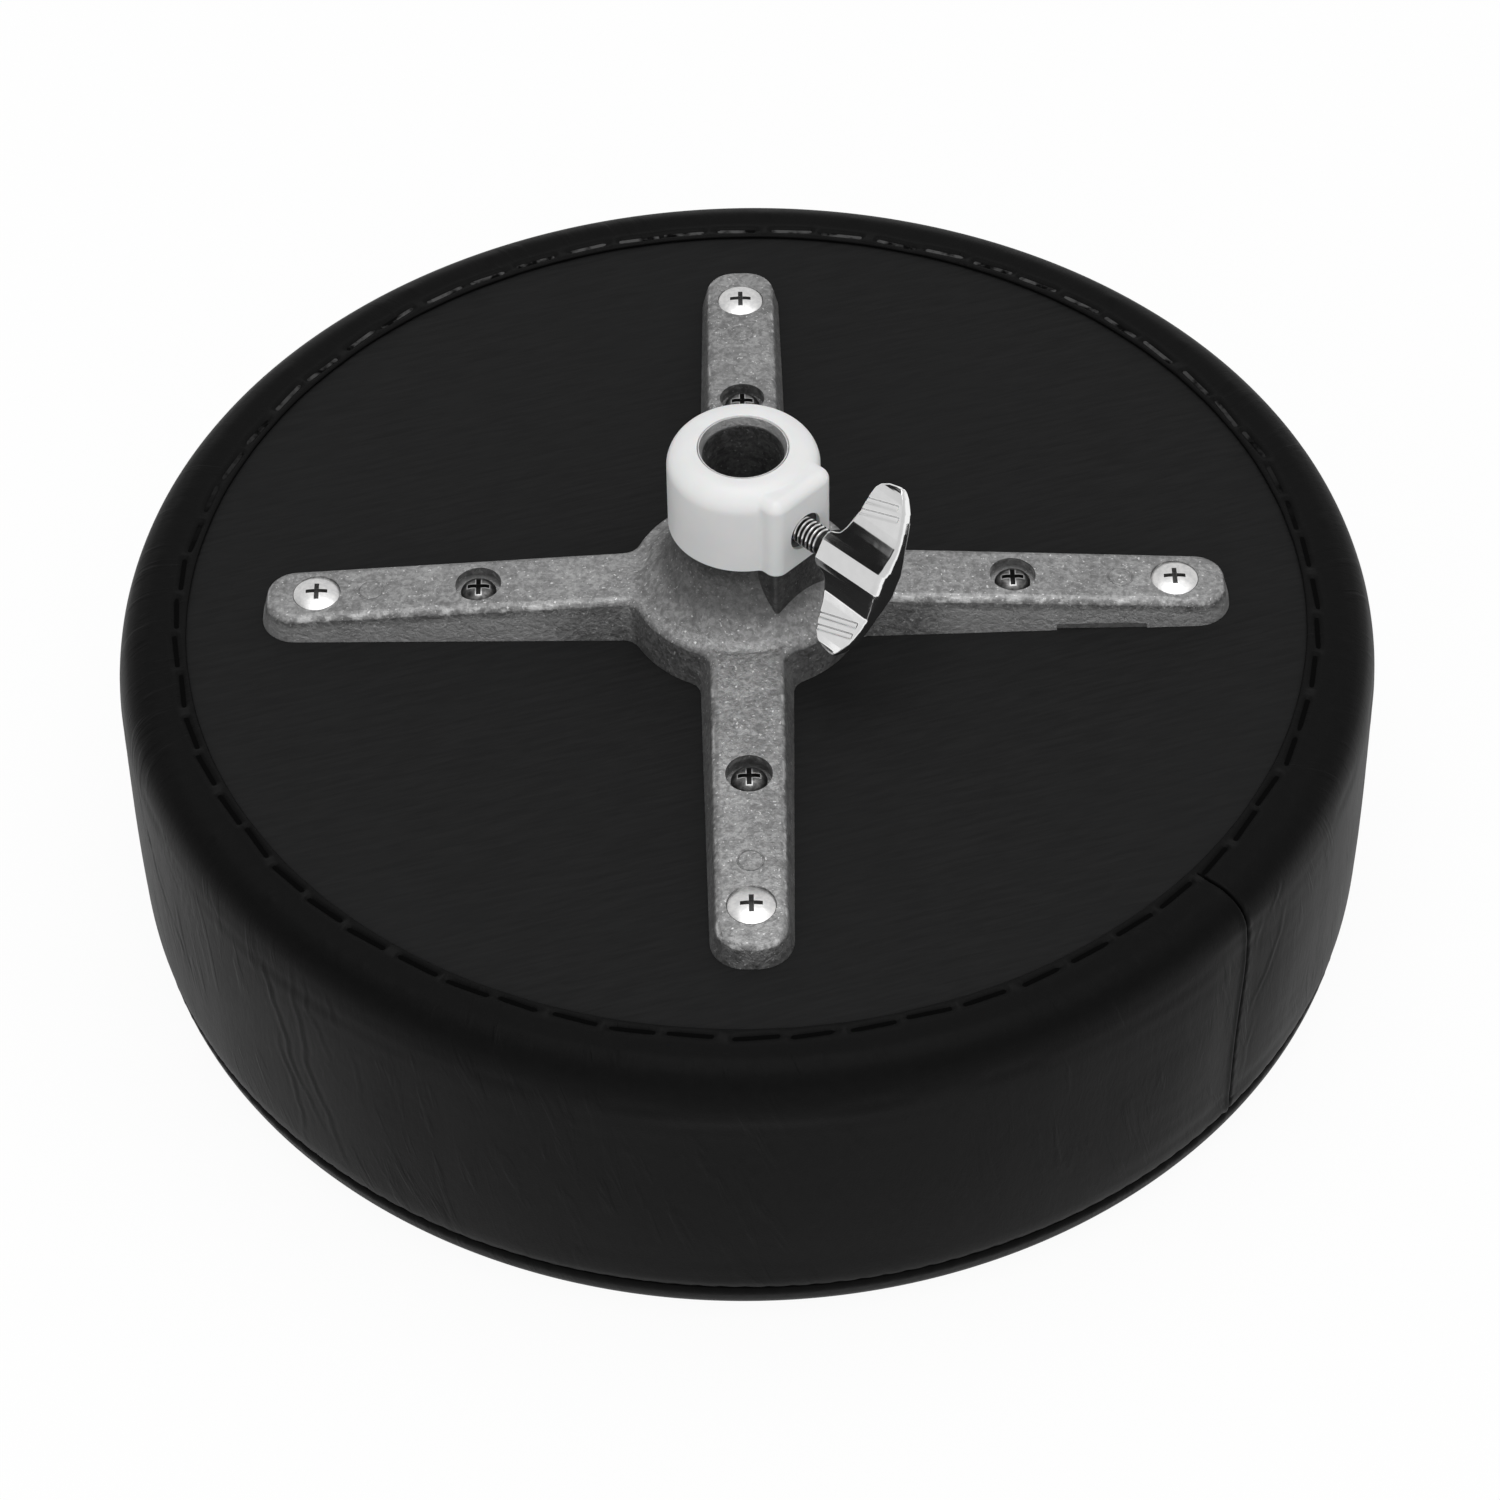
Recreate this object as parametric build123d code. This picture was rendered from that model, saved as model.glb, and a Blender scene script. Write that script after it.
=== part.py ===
from build123d import *
import os
from math import degrees, pi, radians, sin, sqrt, tan

# Drum throne seat: a round padded top with its cast mount, lying upside down on its sitting face.
# Millimetres, +Z up. The origin is the centre of the sitting face. The mount's four arms lie along
# the X and Y axes, and the wing bolt points halfway between +X and -Y.

# ---- Upholstered top
seat_radius = 175.0            # widest point of the bowed side
seat_height = 98.4             # sitting face to the top of the folded edge of the cover
side_bow_radius = 537.0        # radius of the slight outward bow of the side
sitting_edge_radius = 12.0
folded_edge_radius = 8.0
cover_thickness = 1.2
seam_height = 12.0             # seam between the sitting panel and the side band
soft_gap = 0.3                 # between the foams, the board and the cover
edge_wrap = 9.9                # foam and cover outside the board's edge
fold_width = 9.4               # cover folded in over the rim of the board
board_thickness = 12.7
firm_foam_thickness = 42.7

# ---- Staples in the folded edge
staple_pitch = 15.5
staple_edge_distance = 2.6     # staple centre line to the cut edge of the cover
staple_crown = 12.7
staple_leg = 9.5
staple_wire_width = 1.25
staple_wire_thickness = 0.65
staple_sink = 0.35             # top of the crown below the cover's surface
staple_shift = 0.7             # how far a hand-driven staple strays from its place
staple_tilt = 3.5              # and how many degrees it turns

# ---- Cast mount: heights are above the board
arm_tip_margin = 21.2          # folded edge of the cover to an arm's tip
arm_root_radius = 38.0         # where the arm's root width and height are taken
arm_root_half_width = 12.7
arm_root_height = 12.4
arm_narrowing = 1.0            # degrees, each side of the arm in plan
arm_slope = 3.07               # degrees, the fall of the arm's top
arm_draft = 13.5               # degrees, the sides of the arm
arm_tip_flat = 1.5156          # half of the straight edge left between an arm's tip corners
casting_edge_round = 2.2
casting_wall = 3.2
rib_thickness = 2.6
cross_rib_radii = (53.0, 97.0)
hub_ribs = 8
hub_pocket_rise = 0.7          # rise of the hub pocket's roof per millimetre inwards
hub_radius = 33.6
hub_draft = 6.7
hub_corner = 5.0               # fillet between the hub and an arm's side
flare_margin = 4.2             # hub's foot to the flare's foot
flare_rise = 13.6              # from the flare's foot to where it meets the socket tube
flare_hollow = 0.9             # how far the flare sags below a straight cone
flare_foot_round = 5.0
flare_neck_round = 14.0
socket_radius = 11.25          # takes a 22.2 mm post
socket_depth = 52.7
socket_floor = 5.5
tube_wall = 6.55
boss_beyond_tube = 4.0         # tube's side to the face of the clamp boss
boss_half_width = 9.9
boss_drop = 2.9                # top of the boss below the end of the socket
boss_corner = 1.2
mouth_land = 0.35              # flat ring round the flared mouth of the socket
mouth_sink = 0.3               # mouth below the collar's top
edge_relief_start = 86.0       # shallow relief under one edge of the arm on +X
edge_relief_end = 111.0
edge_relief_height = 1.8
edge_relief_depth = 1.6

# ---- Nylon collar
collar_wall = 3.0
collar_height = 26.9
collar_lip_thickness = 2.6
collar_lip_margin = 1.25       # socket's wall to the hole in the collar
collar_top_round = 6.5
collar_lip_round = 0.4
collar_boss_wall = 1.35
collar_boss_drop = 1.3         # the boss's top below the collar's top
collar_boss_corner = 3.5
collar_boss_top_round = 3.3
collar_boss_root_round = 2.0
collar_window_margin = 1.68    # bolt's thread to the edge of its window
collar_clearance = 0.15

# ---- Wing bolt: distances are from the hub's axis along the bolt
bolt_drop = 13.8               # bolt's axis below the end of the socket
bolt_azimuth = -45.0
bolt_radius = 3.97             # 5/16 in
bolt_fit = 0.15                # radial room in the tapped hole
bolt_chamfer = 0.8
bolt_neck_depth = 0.67
bolt_neck_length = 1.3
handle_gap = 8.2               # collar's face to the handle
handle_length = 21.9
handle_socket_depth = 12.5     # how far the stud runs into the handle
handle_socket_fit = 0.03
barrel_wall = 0.73             # barrel's flat faces over the stud
barrel_side_wall = 1.33
barrel_flat = 2.9              # half width of the flat band
wing_turn = 29.0               # degrees between the wings' span and the vertical at rest
wing_root_inset = 18.9         # insets run from the handle's outer end back along the bolt
wing_shoulder = (14.8, 14.8)   # distance from the bolt's axis, and inset
wing_tip = ((22.3, 13.2), (25.5, 8.2), (23.0, 2.9))
wing_root_half_width = 4.0
wing_end_dome = 2.2            # sag of the outer end across its thickness
wing_profile = (               # distance from the barrel, half thickness at the root and at the end
    (0.0, 3.05, 4.5), (2.9, 1.6, 4.25), (7.7, 1.35, 3.75), (14.7, 1.3, 2.75), (22.2, 1.1, 1.4))
wing_groove_radius = 0.65
wing_groove_overrun = 3.0      # a groove's cut runs on past each of its ends
wing_grooves = (               # inner end and outer end: distance from the axis, inset, half thickness
    ((18.7, 15.6, 1.32), (21.6, 0.6, 2.62)), ((14.9, 16.4, 1.42), (18.7, 0.0, 2.98)))
wing_groove_lift = 0.15        # the groove's axis above the face

# ---- Clamp shoe on the bolt's tip
shoe_withdrawal = 0.45         # shoe's face behind the socket's wall
shoe_fit = 0.3
shoe_thickness = 1.9
shoe_stem_radius = 1.5
shoe_stem_length = 3.0

# ---- Screws
outer_screw_margin = 15.4      # arm's tip to its outer screw
outer_screw_radius = 3.175     # 1/4 in
outer_screw_head_radius = 6.45
outer_screw_cone_angle = 41.0  # half of the 82 degree countersink
outer_screw_dome = 1.3
outer_screw_length = 19.0
outer_screw_sink = 0.35        # rim of the head below the arm's top
outer_screw_hole_fit = 0.22
inner_screw_margin = 45.0      # outer screw to the arm's inner screw
inner_screw_radius = 2.4
inner_screw_head_radius = 4.95
inner_screw_head_height = 3.0
inner_screw_tip_margin = 1.6   # board left below its tip
inner_screw_point = 3.0
inner_screw_hole_fit = 0.2
counterbore_margin = 1.45      # head's rim to the wall of the counterbore
counterbore_floor = 6.4        # above the board
screw_grip = 0.05              # radial room of a shank in the board or in its nut
screw_boss_wall = 2.0
recess_width = 1.3
recess_span = 6.0
recess_depth = 2.2
tee_barrel_wall = 0.625
tee_barrel_length = 9.0
tee_flange_radius = 9.5
tee_flange_thickness = 1.5
tee_fit = 0.1

# ---- Derived places
board_top = seat_height - cover_thickness
board_bottom = board_top - board_thickness
board_radius = seat_radius - edge_wrap
fold_inner_radius = board_radius - fold_width
firm_foam_top = board_bottom - soft_gap
firm_foam_bottom = firm_foam_top - firm_foam_thickness
soft_foam_top = firm_foam_bottom - soft_gap
arm_tip_radius = fold_inner_radius - arm_tip_margin
outer_screw_circle = arm_tip_radius - outer_screw_margin
inner_screw_circle = outer_screw_circle - inner_screw_margin
counterbore_radius = inner_screw_head_radius + counterbore_margin
inner_screw_length = counterbore_floor + board_thickness - inner_screw_tip_margin
tee_barrel_radius = outer_screw_radius + screw_grip + tee_barrel_wall
tube_height = socket_floor + socket_depth
bolt_height = tube_height - bolt_drop
tube_radius = socket_radius + tube_wall
flare_foot_radius = hub_radius - flare_margin
boss_reach = tube_radius + boss_beyond_tube
boss_top = tube_height - boss_drop
collar_radius = tube_radius + collar_clearance + collar_wall
collar_lip_radius = socket_radius + collar_lip_margin
collar_boss_reach = boss_reach + collar_clearance + collar_boss_wall
collar_boss_half_width = boss_half_width + collar_clearance + collar_boss_wall
collar_top = tube_height + collar_lip_thickness
collar_bottom = collar_top - collar_height
collar_window_radius = bolt_radius + collar_window_margin
shoe_face = socket_radius + shoe_withdrawal
bolt_tip = shoe_face + shoe_thickness + shoe_fit
handle_inner_end = collar_boss_reach + handle_gap
handle_outer_end = handle_inner_end + handle_length
handle_socket_end = handle_inner_end + handle_socket_depth
bolt_thread_end = handle_inner_end - bolt_neck_length
bolt_neck_radius = bolt_radius - bolt_neck_depth
barrel_half_thickness = bolt_radius + barrel_wall
barrel_half_width = bolt_radius + barrel_side_wall
arm_angles = (0.0, 90.0, 180.0, 270.0)


def arm_height(radius):
    """Height of an arm's top above the board at a distance from the hub's axis."""
    return arm_root_height - (radius - arm_root_radius) * tan(radians(arm_slope))


def arm_half_width(radius):
    """Half width of an arm's foot on the board at a distance from the hub's axis."""
    return arm_root_half_width - (radius - arm_root_radius) * tan(radians(arm_narrowing))


arm_tip_corner = arm_half_width(arm_tip_radius) - arm_tip_flat


def revolved(outline):
    """Solid of revolution about Z from a closed outline of (radius, height)."""
    return revolve(Plane.XZ * make_face(outline), axis=Axis.Z)


def cylinder_between(radius, low, high):
    """Upright cylinder on the Z axis from one height to another."""
    return Pos(0, 0, low) * Cylinder(radius, high - low, align=(Align.CENTER, Align.CENTER, Align.MIN))


def box_between(low, high):
    """Box from its lowest corner to its highest corner."""
    size = Vector(*high) - Vector(*low)
    return Pos(*low) * Box(size.X, size.Y, size.Z, align=Align.MIN)


# ---------------------------------------------------------------- Upholstered top

def cushion(inset):
    """The upholstered form drawn `inset` inside the cover: a disc with a bowed side, edges rounded."""
    low = inset
    high = seat_height - inset
    bow = side_bow_radius - inset
    reach = seat_radius - side_bow_radius + sqrt(bow**2 - (seat_height / 2 - inset)**2)
    side = ThreePointArc((reach, low), (seat_radius - inset, seat_height / 2), (reach, high))
    rest = Polyline((reach, high), (0, high), (0, low), (reach, low))
    profile = make_face(side + rest)
    profile = fillet(profile.vertices().filter_by_position(Axis.X, 1, 2 * seat_radius)
                     .filter_by_position(Axis.Y, low - 1, low + 1), sitting_edge_radius - inset)
    profile = fillet(profile.vertices().filter_by_position(Axis.X, reach - 1, 2 * seat_radius)
                     .filter_by_position(Axis.Y, high - 1, high + 1), folded_edge_radius - inset)
    return revolve(Plane.XZ * profile, axis=Axis.Z)


def slab(low, high):
    """Disc wider than the seat, used to take a layer out of the upholstered form."""
    return cylinder_between(2 * seat_radius, low, high)


def around_screws(shape, circle):
    """The same shape on each arm's axis at a distance from the hub."""
    return [Rot(0, 0, angle) * Pos(circle, 0, 0) * shape for angle in arm_angles]


def make_cover_shell():
    """Skin of vinyl all round the upholstered form."""
    return cushion(0) - cushion(cover_thickness)


def make_cover_top_panel():
    """Disc of vinyl on the sitting face, up to the seam."""
    return make_cover_shell() & slab(0, seam_height)


def make_cover_side_band():
    """Band of vinyl from the seam up the side and in over the board, open where it is cut off."""
    band = make_cover_shell() & slab(seam_height, seat_height)
    return band - cylinder_between(fold_inner_radius, board_bottom, seat_height)


def make_foam_soft_layer():
    """Soft foam under the sitting face."""
    return cushion(cover_thickness + soft_gap) & slab(0, soft_foam_top)


def make_foam_firm_layer():
    """Firm foam that carries the board and wraps its edge, with pockets for the tee nuts' flanges."""
    foam = cushion(cover_thickness + soft_gap) & slab(firm_foam_bottom, board_top)
    foam -= cylinder_between(board_radius + soft_gap, firm_foam_top, board_top)
    pocket = cylinder_between(tee_flange_radius + soft_gap,
                              board_bottom - tee_flange_thickness - soft_gap, board_top)
    for cut in around_screws(pocket, outer_screw_circle):
        foam -= cut
    return foam


def make_seat_board():
    """Plywood disc with a through hole for each tee nut and a pilot hole for each inner screw."""
    board = cylinder_between(board_radius, board_bottom, board_top)
    tee_hole = cylinder_between(tee_barrel_radius + tee_fit, board_bottom, board_top)
    pilot_depth = inner_screw_length - counterbore_floor + screw_grip
    pilot = cylinder_between(inner_screw_radius + screw_grip, board_top - pilot_depth, board_top)
    for cut in around_screws(tee_hole, outer_screw_circle) + around_screws(pilot, inner_screw_circle):
        board -= cut
    return board


def make_staples():
    """Ring of U-shaped staples whose crowns press on the folded edge; each strays a little."""
    crown_top = -staple_sink
    outer = Pos(0, (crown_top - staple_leg) / 2) * Rectangle(staple_crown, crown_top + staple_leg)
    inner_top = crown_top - staple_wire_thickness
    inner = Pos(0, (inner_top - staple_leg) / 2) * Rectangle(
        staple_crown - 2 * staple_wire_thickness, inner_top + staple_leg)
    staple = extrude(Plane.YZ * (outer - inner), staple_wire_width / 2, both=True)
    circle = fold_inner_radius + staple_edge_distance
    count = round(2 * pi * circle / staple_pitch)
    staples = []
    for index in range(count):
        stray = sin(2.4 * index * index + 1.0)
        turn = 360.0 * index / count + degrees(staple_shift * sin(1.7 * index * index) / circle)
        place = Rot(0, 0, turn) * Pos(circle + 0.5 * staple_shift * stray, 0, seat_height)
        staples.append(place * Rot(0, 0, staple_tilt * stray) * staple)
    return Compound(children=staples)


# ---------------------------------------------------------------- Cast mount

def arm_plan(inset, root, tip):
    """Plan of one arm along +X from a root to a tip, drawn `inset` inside the foot's outline."""
    corners = [(root, inset - arm_half_width(root)), (tip, inset - arm_half_width(tip)),
               (tip, arm_half_width(tip) - inset), (root, arm_half_width(root) - inset)]
    return make_face(Polyline(*corners, close=True))


def casting_roof(drop):
    """Solid under the cone that the tops of the arms and the hub lie on, lowered by `drop`."""
    edge = arm_tip_radius + casting_wall
    return revolved(Polyline((0, -1), (edge, -1), (edge, arm_height(edge) - drop),
                             (0, arm_height(0) - drop), close=True))


def make_arms_and_hub():
    """Four drafted arms and the drafted hub disc, with their corners and top edges rounded."""
    plan = arm_plan(0, 0, arm_tip_radius)
    plan = fillet(plan.vertices().sort_by(Axis.X)[-2:], arm_tip_corner)
    raised = 1.5 * arm_root_height
    arm = extrude(plan, raised, taper=arm_draft)
    hub = extrude(Circle(hub_radius), raised, taper=hub_draft)
    body = hub
    for angle in arm_angles:
        body += Rot(0, 0, angle) * arm
    corners = [edge for edge in body.edges()
               if edge.bounding_box().size.Z > 0.9 * raised
               and Vector(edge.center().X, edge.center().Y).length < arm_root_radius]
    body = fillet(corners, hub_corner)
    body = body & casting_roof(0)
    top = body.faces().sort_by(SortBy.AREA)[-2:].sort_by(Axis.Z)[-1]
    return fillet(top.outer_wire().edges(), casting_edge_round)


def make_socket_tube():
    """Socket tube on its flared foot, with a thin flared mouth that the collar fits round."""
    foot = (flare_foot_radius, arm_height(flare_foot_radius))
    neck = (tube_radius, foot[1] + flare_rise)
    sag = flare_hollow / sqrt(2)
    middle = ((foot[0] + neck[0]) / 2 - sag, (foot[1] + neck[1]) / 2 - sag)
    flare = ThreePointArc(foot, middle, neck)
    mouth = collar_lip_radius - collar_clearance
    mouth_top = collar_top - mouth_sink
    rest = Polyline(neck, (tube_radius, tube_height), (mouth, tube_height), (mouth, mouth_top),
                    (0, mouth_top), (0, 0), (foot[0], 0), foot)
    profile = make_face(flare + rest)
    profile = fillet(profile.vertices().sort_by_distance(neck)[0], flare_neck_round)
    return revolve(Plane.XZ * profile, axis=Axis.Z)


def make_socket():
    """The socket's hole: blind, with its mouth flared above the full depth."""
    mouth = collar_lip_radius - collar_clearance - mouth_land
    mouth_top = collar_top - mouth_sink
    return revolved(Polyline((0, socket_floor), (socket_radius, socket_floor), (socket_radius, tube_height),
                             (mouth, mouth_top), (mouth, mouth_top + 1), (0, mouth_top + 1), close=True))


def make_clamp_boss():
    """Block on the side of the socket tube that the wing bolt is threaded through."""
    boss = box_between((0, -boss_half_width, arm_root_height), (boss_reach, boss_half_width, boss_top))
    boss = fillet(boss.edges().filter_by(Axis.Z).group_by(Axis.X)[-1], boss_corner)
    return Rot(0, 0, bolt_azimuth) * boss


def make_arm_pockets():
    """What is open under one arm along +X: a channel parted by ribs, around the screws' bosses."""
    root = hub_radius + casting_wall
    tip = arm_tip_radius - casting_wall - 1
    channel = extrude(arm_plan(casting_wall, root, tip), arm_root_height, taper=arm_draft)
    channel = channel & casting_roof(casting_wall)
    width = 2 * arm_root_half_width
    channel -= box_between((0, -rib_thickness / 2, 0), (arm_tip_radius, rib_thickness / 2, arm_root_height))
    for radius in cross_rib_radii:
        channel -= box_between((radius - rib_thickness / 2, -width, 0),
                               (radius + rib_thickness / 2, width, arm_root_height))
    outer_boss = outer_screw_head_radius + screw_boss_wall
    inner_boss = counterbore_radius + screw_boss_wall
    channel -= Pos(outer_screw_circle, 0, 0) * cylinder_between(outer_boss, 0, arm_root_height)
    channel -= Pos(inner_screw_circle, 0, 0) * cylinder_between(inner_boss, 0, arm_root_height)
    return channel


def make_hub_pocket():
    """Ring-shaped hollow under the hub, parted by radial ribs."""
    inner = tube_radius
    outer = hub_radius - casting_wall - 1
    rim_height = arm_height(outer) - casting_wall
    pocket = revolved(Polyline((inner, 0), (outer, 0), (outer, rim_height),
                               (inner, rim_height + hub_pocket_rise * (outer - inner)), close=True))
    rib = box_between((0, -rib_thickness / 2, 0), (hub_radius, rib_thickness / 2, tube_height))
    for index in range(hub_ribs):
        pocket -= Rot(0, 0, 360.0 * index / hub_ribs) * rib
    return pocket


def make_outer_screw_cut():
    """Countersunk clearance hole through an arm, at the height of its screw's head."""
    rim = arm_height(outer_screw_circle) - outer_screw_sink
    hole = outer_screw_radius + outer_screw_hole_fit
    mouth = outer_screw_head_radius + outer_screw_hole_fit
    cone = (mouth - hole) / tan(radians(outer_screw_cone_angle))
    return revolved(Polyline((0, -1), (hole, -1), (hole, rim - cone), (mouth, rim),
                             (mouth, arm_root_height), (0, arm_root_height), close=True))


def make_inner_screw_cut():
    """Counterbored clearance hole through an arm."""
    hole = inner_screw_radius + inner_screw_hole_fit
    return revolved(Polyline((0, -1), (hole, -1), (hole, counterbore_floor),
                             (counterbore_radius, counterbore_floor),
                             (counterbore_radius, 2 * arm_root_height), (0, 2 * arm_root_height), close=True))


def along_bolt(shape):
    """Turn a shape built along +Z so that it lies on the wing bolt's axis."""
    return Pos(0, 0, bolt_height) * Rot(0, 0, bolt_azimuth) * Rot(0, 90, 0) * shape


def make_spider_bracket():
    """Aluminium casting: ribbed arms, hub, flare, socket tube and clamp boss in one piece."""
    body = make_arms_and_hub() + make_socket_tube()
    foot = body.edges().filter_by(GeomType.CIRCLE).filter_by(
        lambda edge: abs(edge.radius - flare_foot_radius) < 0.01 and edge.center().Z > 0.1)
    body = fillet(foot, flare_foot_round) + make_clamp_boss()
    pocket = make_arm_pockets()
    for angle in arm_angles:
        body -= Rot(0, 0, angle) * pocket
    body -= make_hub_pocket()
    for cut in around_screws(make_outer_screw_cut(), outer_screw_circle):
        body -= cut
    for cut in around_screws(make_inner_screw_cut(), inner_screw_circle):
        body -= cut
    body -= make_socket()
    body -= along_bolt(cylinder_between(bolt_radius + bolt_fit, 0, collar_boss_reach))
    body -= box_between((edge_relief_start, -2 * arm_root_half_width, -1),
                        (edge_relief_end, edge_relief_depth - arm_root_half_width, edge_relief_height))
    return Pos(0, 0, board_top) * body


def make_collar():
    """Nylon cap over the socket tube and its clamp boss, resting on the tube's end."""
    cap = cylinder_between(collar_radius, collar_bottom, collar_top)
    cap = fillet(cap.edges().group_by(Axis.Z)[-1], collar_top_round)
    top = collar_top - collar_boss_drop
    nose = box_between((0, -collar_boss_half_width, collar_bottom),
                       (collar_boss_reach, collar_boss_half_width, top))
    nose = fillet(nose.edges().filter_by(Axis.Z).group_by(Axis.X)[-1], collar_boss_corner)
    rim = [edge for edge in nose.edges().group_by(Axis.Z)[-1] if edge.bounding_box().max.X > 1]
    nose = fillet(rim, collar_boss_top_round)
    cap += Rot(0, 0, bolt_azimuth) * nose
    roots = [edge for edge in cap.edges().filter_by(Axis.Z)
             if abs(Vector(edge.center().X, edge.center().Y).length - collar_radius) < 0.01
             and edge.length > 0.5 * collar_height]
    cap = fillet(roots, collar_boss_root_round)
    cap -= cylinder_between(tube_radius + collar_clearance, collar_bottom, tube_height)
    half = boss_half_width + collar_clearance
    room = box_between((0, -half, collar_bottom),
                       (collar_boss_reach - collar_boss_wall, half, boss_top + collar_clearance))
    cap -= Rot(0, 0, bolt_azimuth) * room
    cap -= cylinder_between(collar_lip_radius, collar_bottom, collar_top)
    cap -= along_bolt(cylinder_between(collar_window_radius, boss_reach, 2 * collar_boss_reach))
    mouth = cap.edges().filter_by(GeomType.CIRCLE).group_by(Axis.Z)[-1].sort_by(SortBy.RADIUS)[0]
    return Pos(0, 0, board_top) * fillet(mouth, collar_lip_round)


# ---------------------------------------------------------------- Wing bolt and shoe

def make_wing_bolt_stud():
    """Steel stud: threaded length, undercut neck, and a plain end cast into the handle."""
    hole = shoe_stem_radius + shoe_fit
    depth = bolt_tip + shoe_stem_length
    outline = Polyline((0, depth), (hole, depth), (hole, bolt_tip), (bolt_radius - bolt_chamfer, bolt_tip),
                       (bolt_radius, bolt_tip + bolt_chamfer), (bolt_radius, bolt_thread_end),
                       (bolt_neck_radius, bolt_thread_end), (bolt_neck_radius, handle_inner_end),
                       (bolt_radius, handle_inner_end), (bolt_radius, handle_socket_end),
                       (0, handle_socket_end), close=True)
    return Pos(0, 0, board_top) * along_bolt(revolved(outline))


def wing_section(place, at_end):
    """Section across the handle: a flat band, a valley each side of it, and wings that thin out."""
    column = 2 if at_end else 1
    side = [(barrel_flat, barrel_half_thickness)]
    side += [(barrel_half_width + point[0], point[column]) for point in wing_profile]
    flip = [(x, -y) for x, y in side]
    mirror = [(-x, y) for x, y in side]
    turned = [(-x, -y) for x, y in side]
    outline = (Line(mirror[0], side[0]) + Spline(*side) + Line(side[-1], flip[-1])
               + Spline(*reversed(flip)) + Line(flip[0], turned[0]) + Spline(*turned)
               + Line(turned[-1], mirror[-1]) + Spline(*reversed(mirror)))
    return Pos(0, 0, place) * make_face(outline)


def make_wing_handle():
    """Cast handle: a flat-sided barrel on the stud with two grooved wings that thicken outwards.

    Built with the bolt's axis on +Z and the wings' span along X.
    """
    end = handle_outer_end
    barrel_corner = [(barrel_flat, barrel_half_thickness), (barrel_half_width, barrel_flat),
                     (barrel_half_width, -barrel_flat), (barrel_flat, -barrel_half_thickness)]
    mirrored = [(-x, y) for x, y in reversed(barrel_corner)]
    barrel = Pos(0, 0, handle_inner_end) * extrude(
        make_face(Polyline(*barrel_corner, *mirrored, close=True)), handle_length)
    root = end - wing_root_inset
    wings = loft([wing_section(root, False), wing_section(end, True)], ruled=True)
    right = [(x, end - inset) for x, inset in (wing_shoulder,) + wing_tip]
    left = [(-x, z) for x, z in right]
    foot = wing_root_half_width
    outline = make_face(
        Spline((foot, root), right[0], right[1]) + ThreePointArc(right[1], right[2], right[3])
        + ThreePointArc(right[3], (0, end), left[3]) + ThreePointArc(left[3], left[2], left[1])
        + Spline(left[1], left[0], (-foot, root)) + Line((-foot, root), (foot, root)))
    wings = wings & extrude(Plane.XZ * outline, 2 * barrel_half_thickness, both=True)
    handle = barrel + wings
    half = barrel_half_thickness
    dome = make_face(ThreePointArc((-half, end - wing_end_dome), (0, end), (half, end - wing_end_dome))
                     + Polyline((half, end - wing_end_dome), (2 * half, 0), (-2 * half, 0),
                                (-half, end - wing_end_dome)))
    handle = handle & extrude(Plane.YZ * dome, 2 * wing_tip[1][0], both=True)
    for inner, outer in wing_grooves:
        for side in (1, -1):
            for face in (1, -1):
                start = Vector(side * inner[0], face * (inner[2] + wing_groove_lift), end - inner[1])
                stop = Vector(side * outer[0], face * (outer[2] + wing_groove_lift), end - outer[1])
                lead = stop - start
                groove = Cylinder(wing_groove_radius, lead.length + 2 * wing_groove_overrun)
                handle -= Plane(origin=start + lead * 0.5, z_dir=lead) * groove
    handle -= cylinder_between(bolt_radius + handle_socket_fit, 0, handle_socket_end)
    return handle


def make_clamp_shoe():
    """Small shoe on the bolt's tip that presses on the post; its stem sits in the stud."""
    disc = cylinder_between(bolt_radius - 2 * bolt_fit, shoe_face, shoe_face + shoe_thickness)
    stem = cylinder_between(shoe_stem_radius, shoe_face, bolt_tip + shoe_stem_length - shoe_fit)
    return Pos(0, 0, board_top) * along_bolt(disc + stem)


# ---------------------------------------------------------------- Fasteners

def cross_recess(top):
    """Plus-shaped recess cut down from the top of a screw's head."""
    long_slot = box_between((-recess_span / 2, -recess_width / 2, top - recess_depth),
                            (recess_span / 2, recess_width / 2, top + 1))
    return long_slot + Rot(0, 0, 90) * long_slot


def make_mounting_screw():
    """Raised countersunk machine screw, its head's rim at height 0."""
    cone = (outer_screw_head_radius - outer_screw_radius) / tan(radians(outer_screw_cone_angle))
    dome_middle = 0.6 * outer_screw_head_radius
    dome = ThreePointArc((outer_screw_head_radius, 0), (dome_middle, 0.68 * outer_screw_dome),
                         (0, outer_screw_dome))
    rest = Polyline((0, outer_screw_dome), (0, -outer_screw_length),
                    (outer_screw_radius, -outer_screw_length), (outer_screw_radius, -cone),
                    (outer_screw_head_radius, 0))
    return revolved(dome + rest) - cross_recess(outer_screw_dome)


def make_wood_screw():
    """Pan-head screw with the underside of its head at height 0."""
    height = inner_screw_head_height
    radius = inner_screw_head_radius
    dome = ThreePointArc((radius, 0.4 * height), (0.8 * radius, 0.8 * height), (0, height))
    rest = Polyline((0, height), (0, -inner_screw_length),
                    (inner_screw_radius, inner_screw_point - inner_screw_length), (inner_screw_radius, 0),
                    (radius, 0), (radius, 0.4 * height))
    return revolved(dome + rest) - cross_recess(height)


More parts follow.
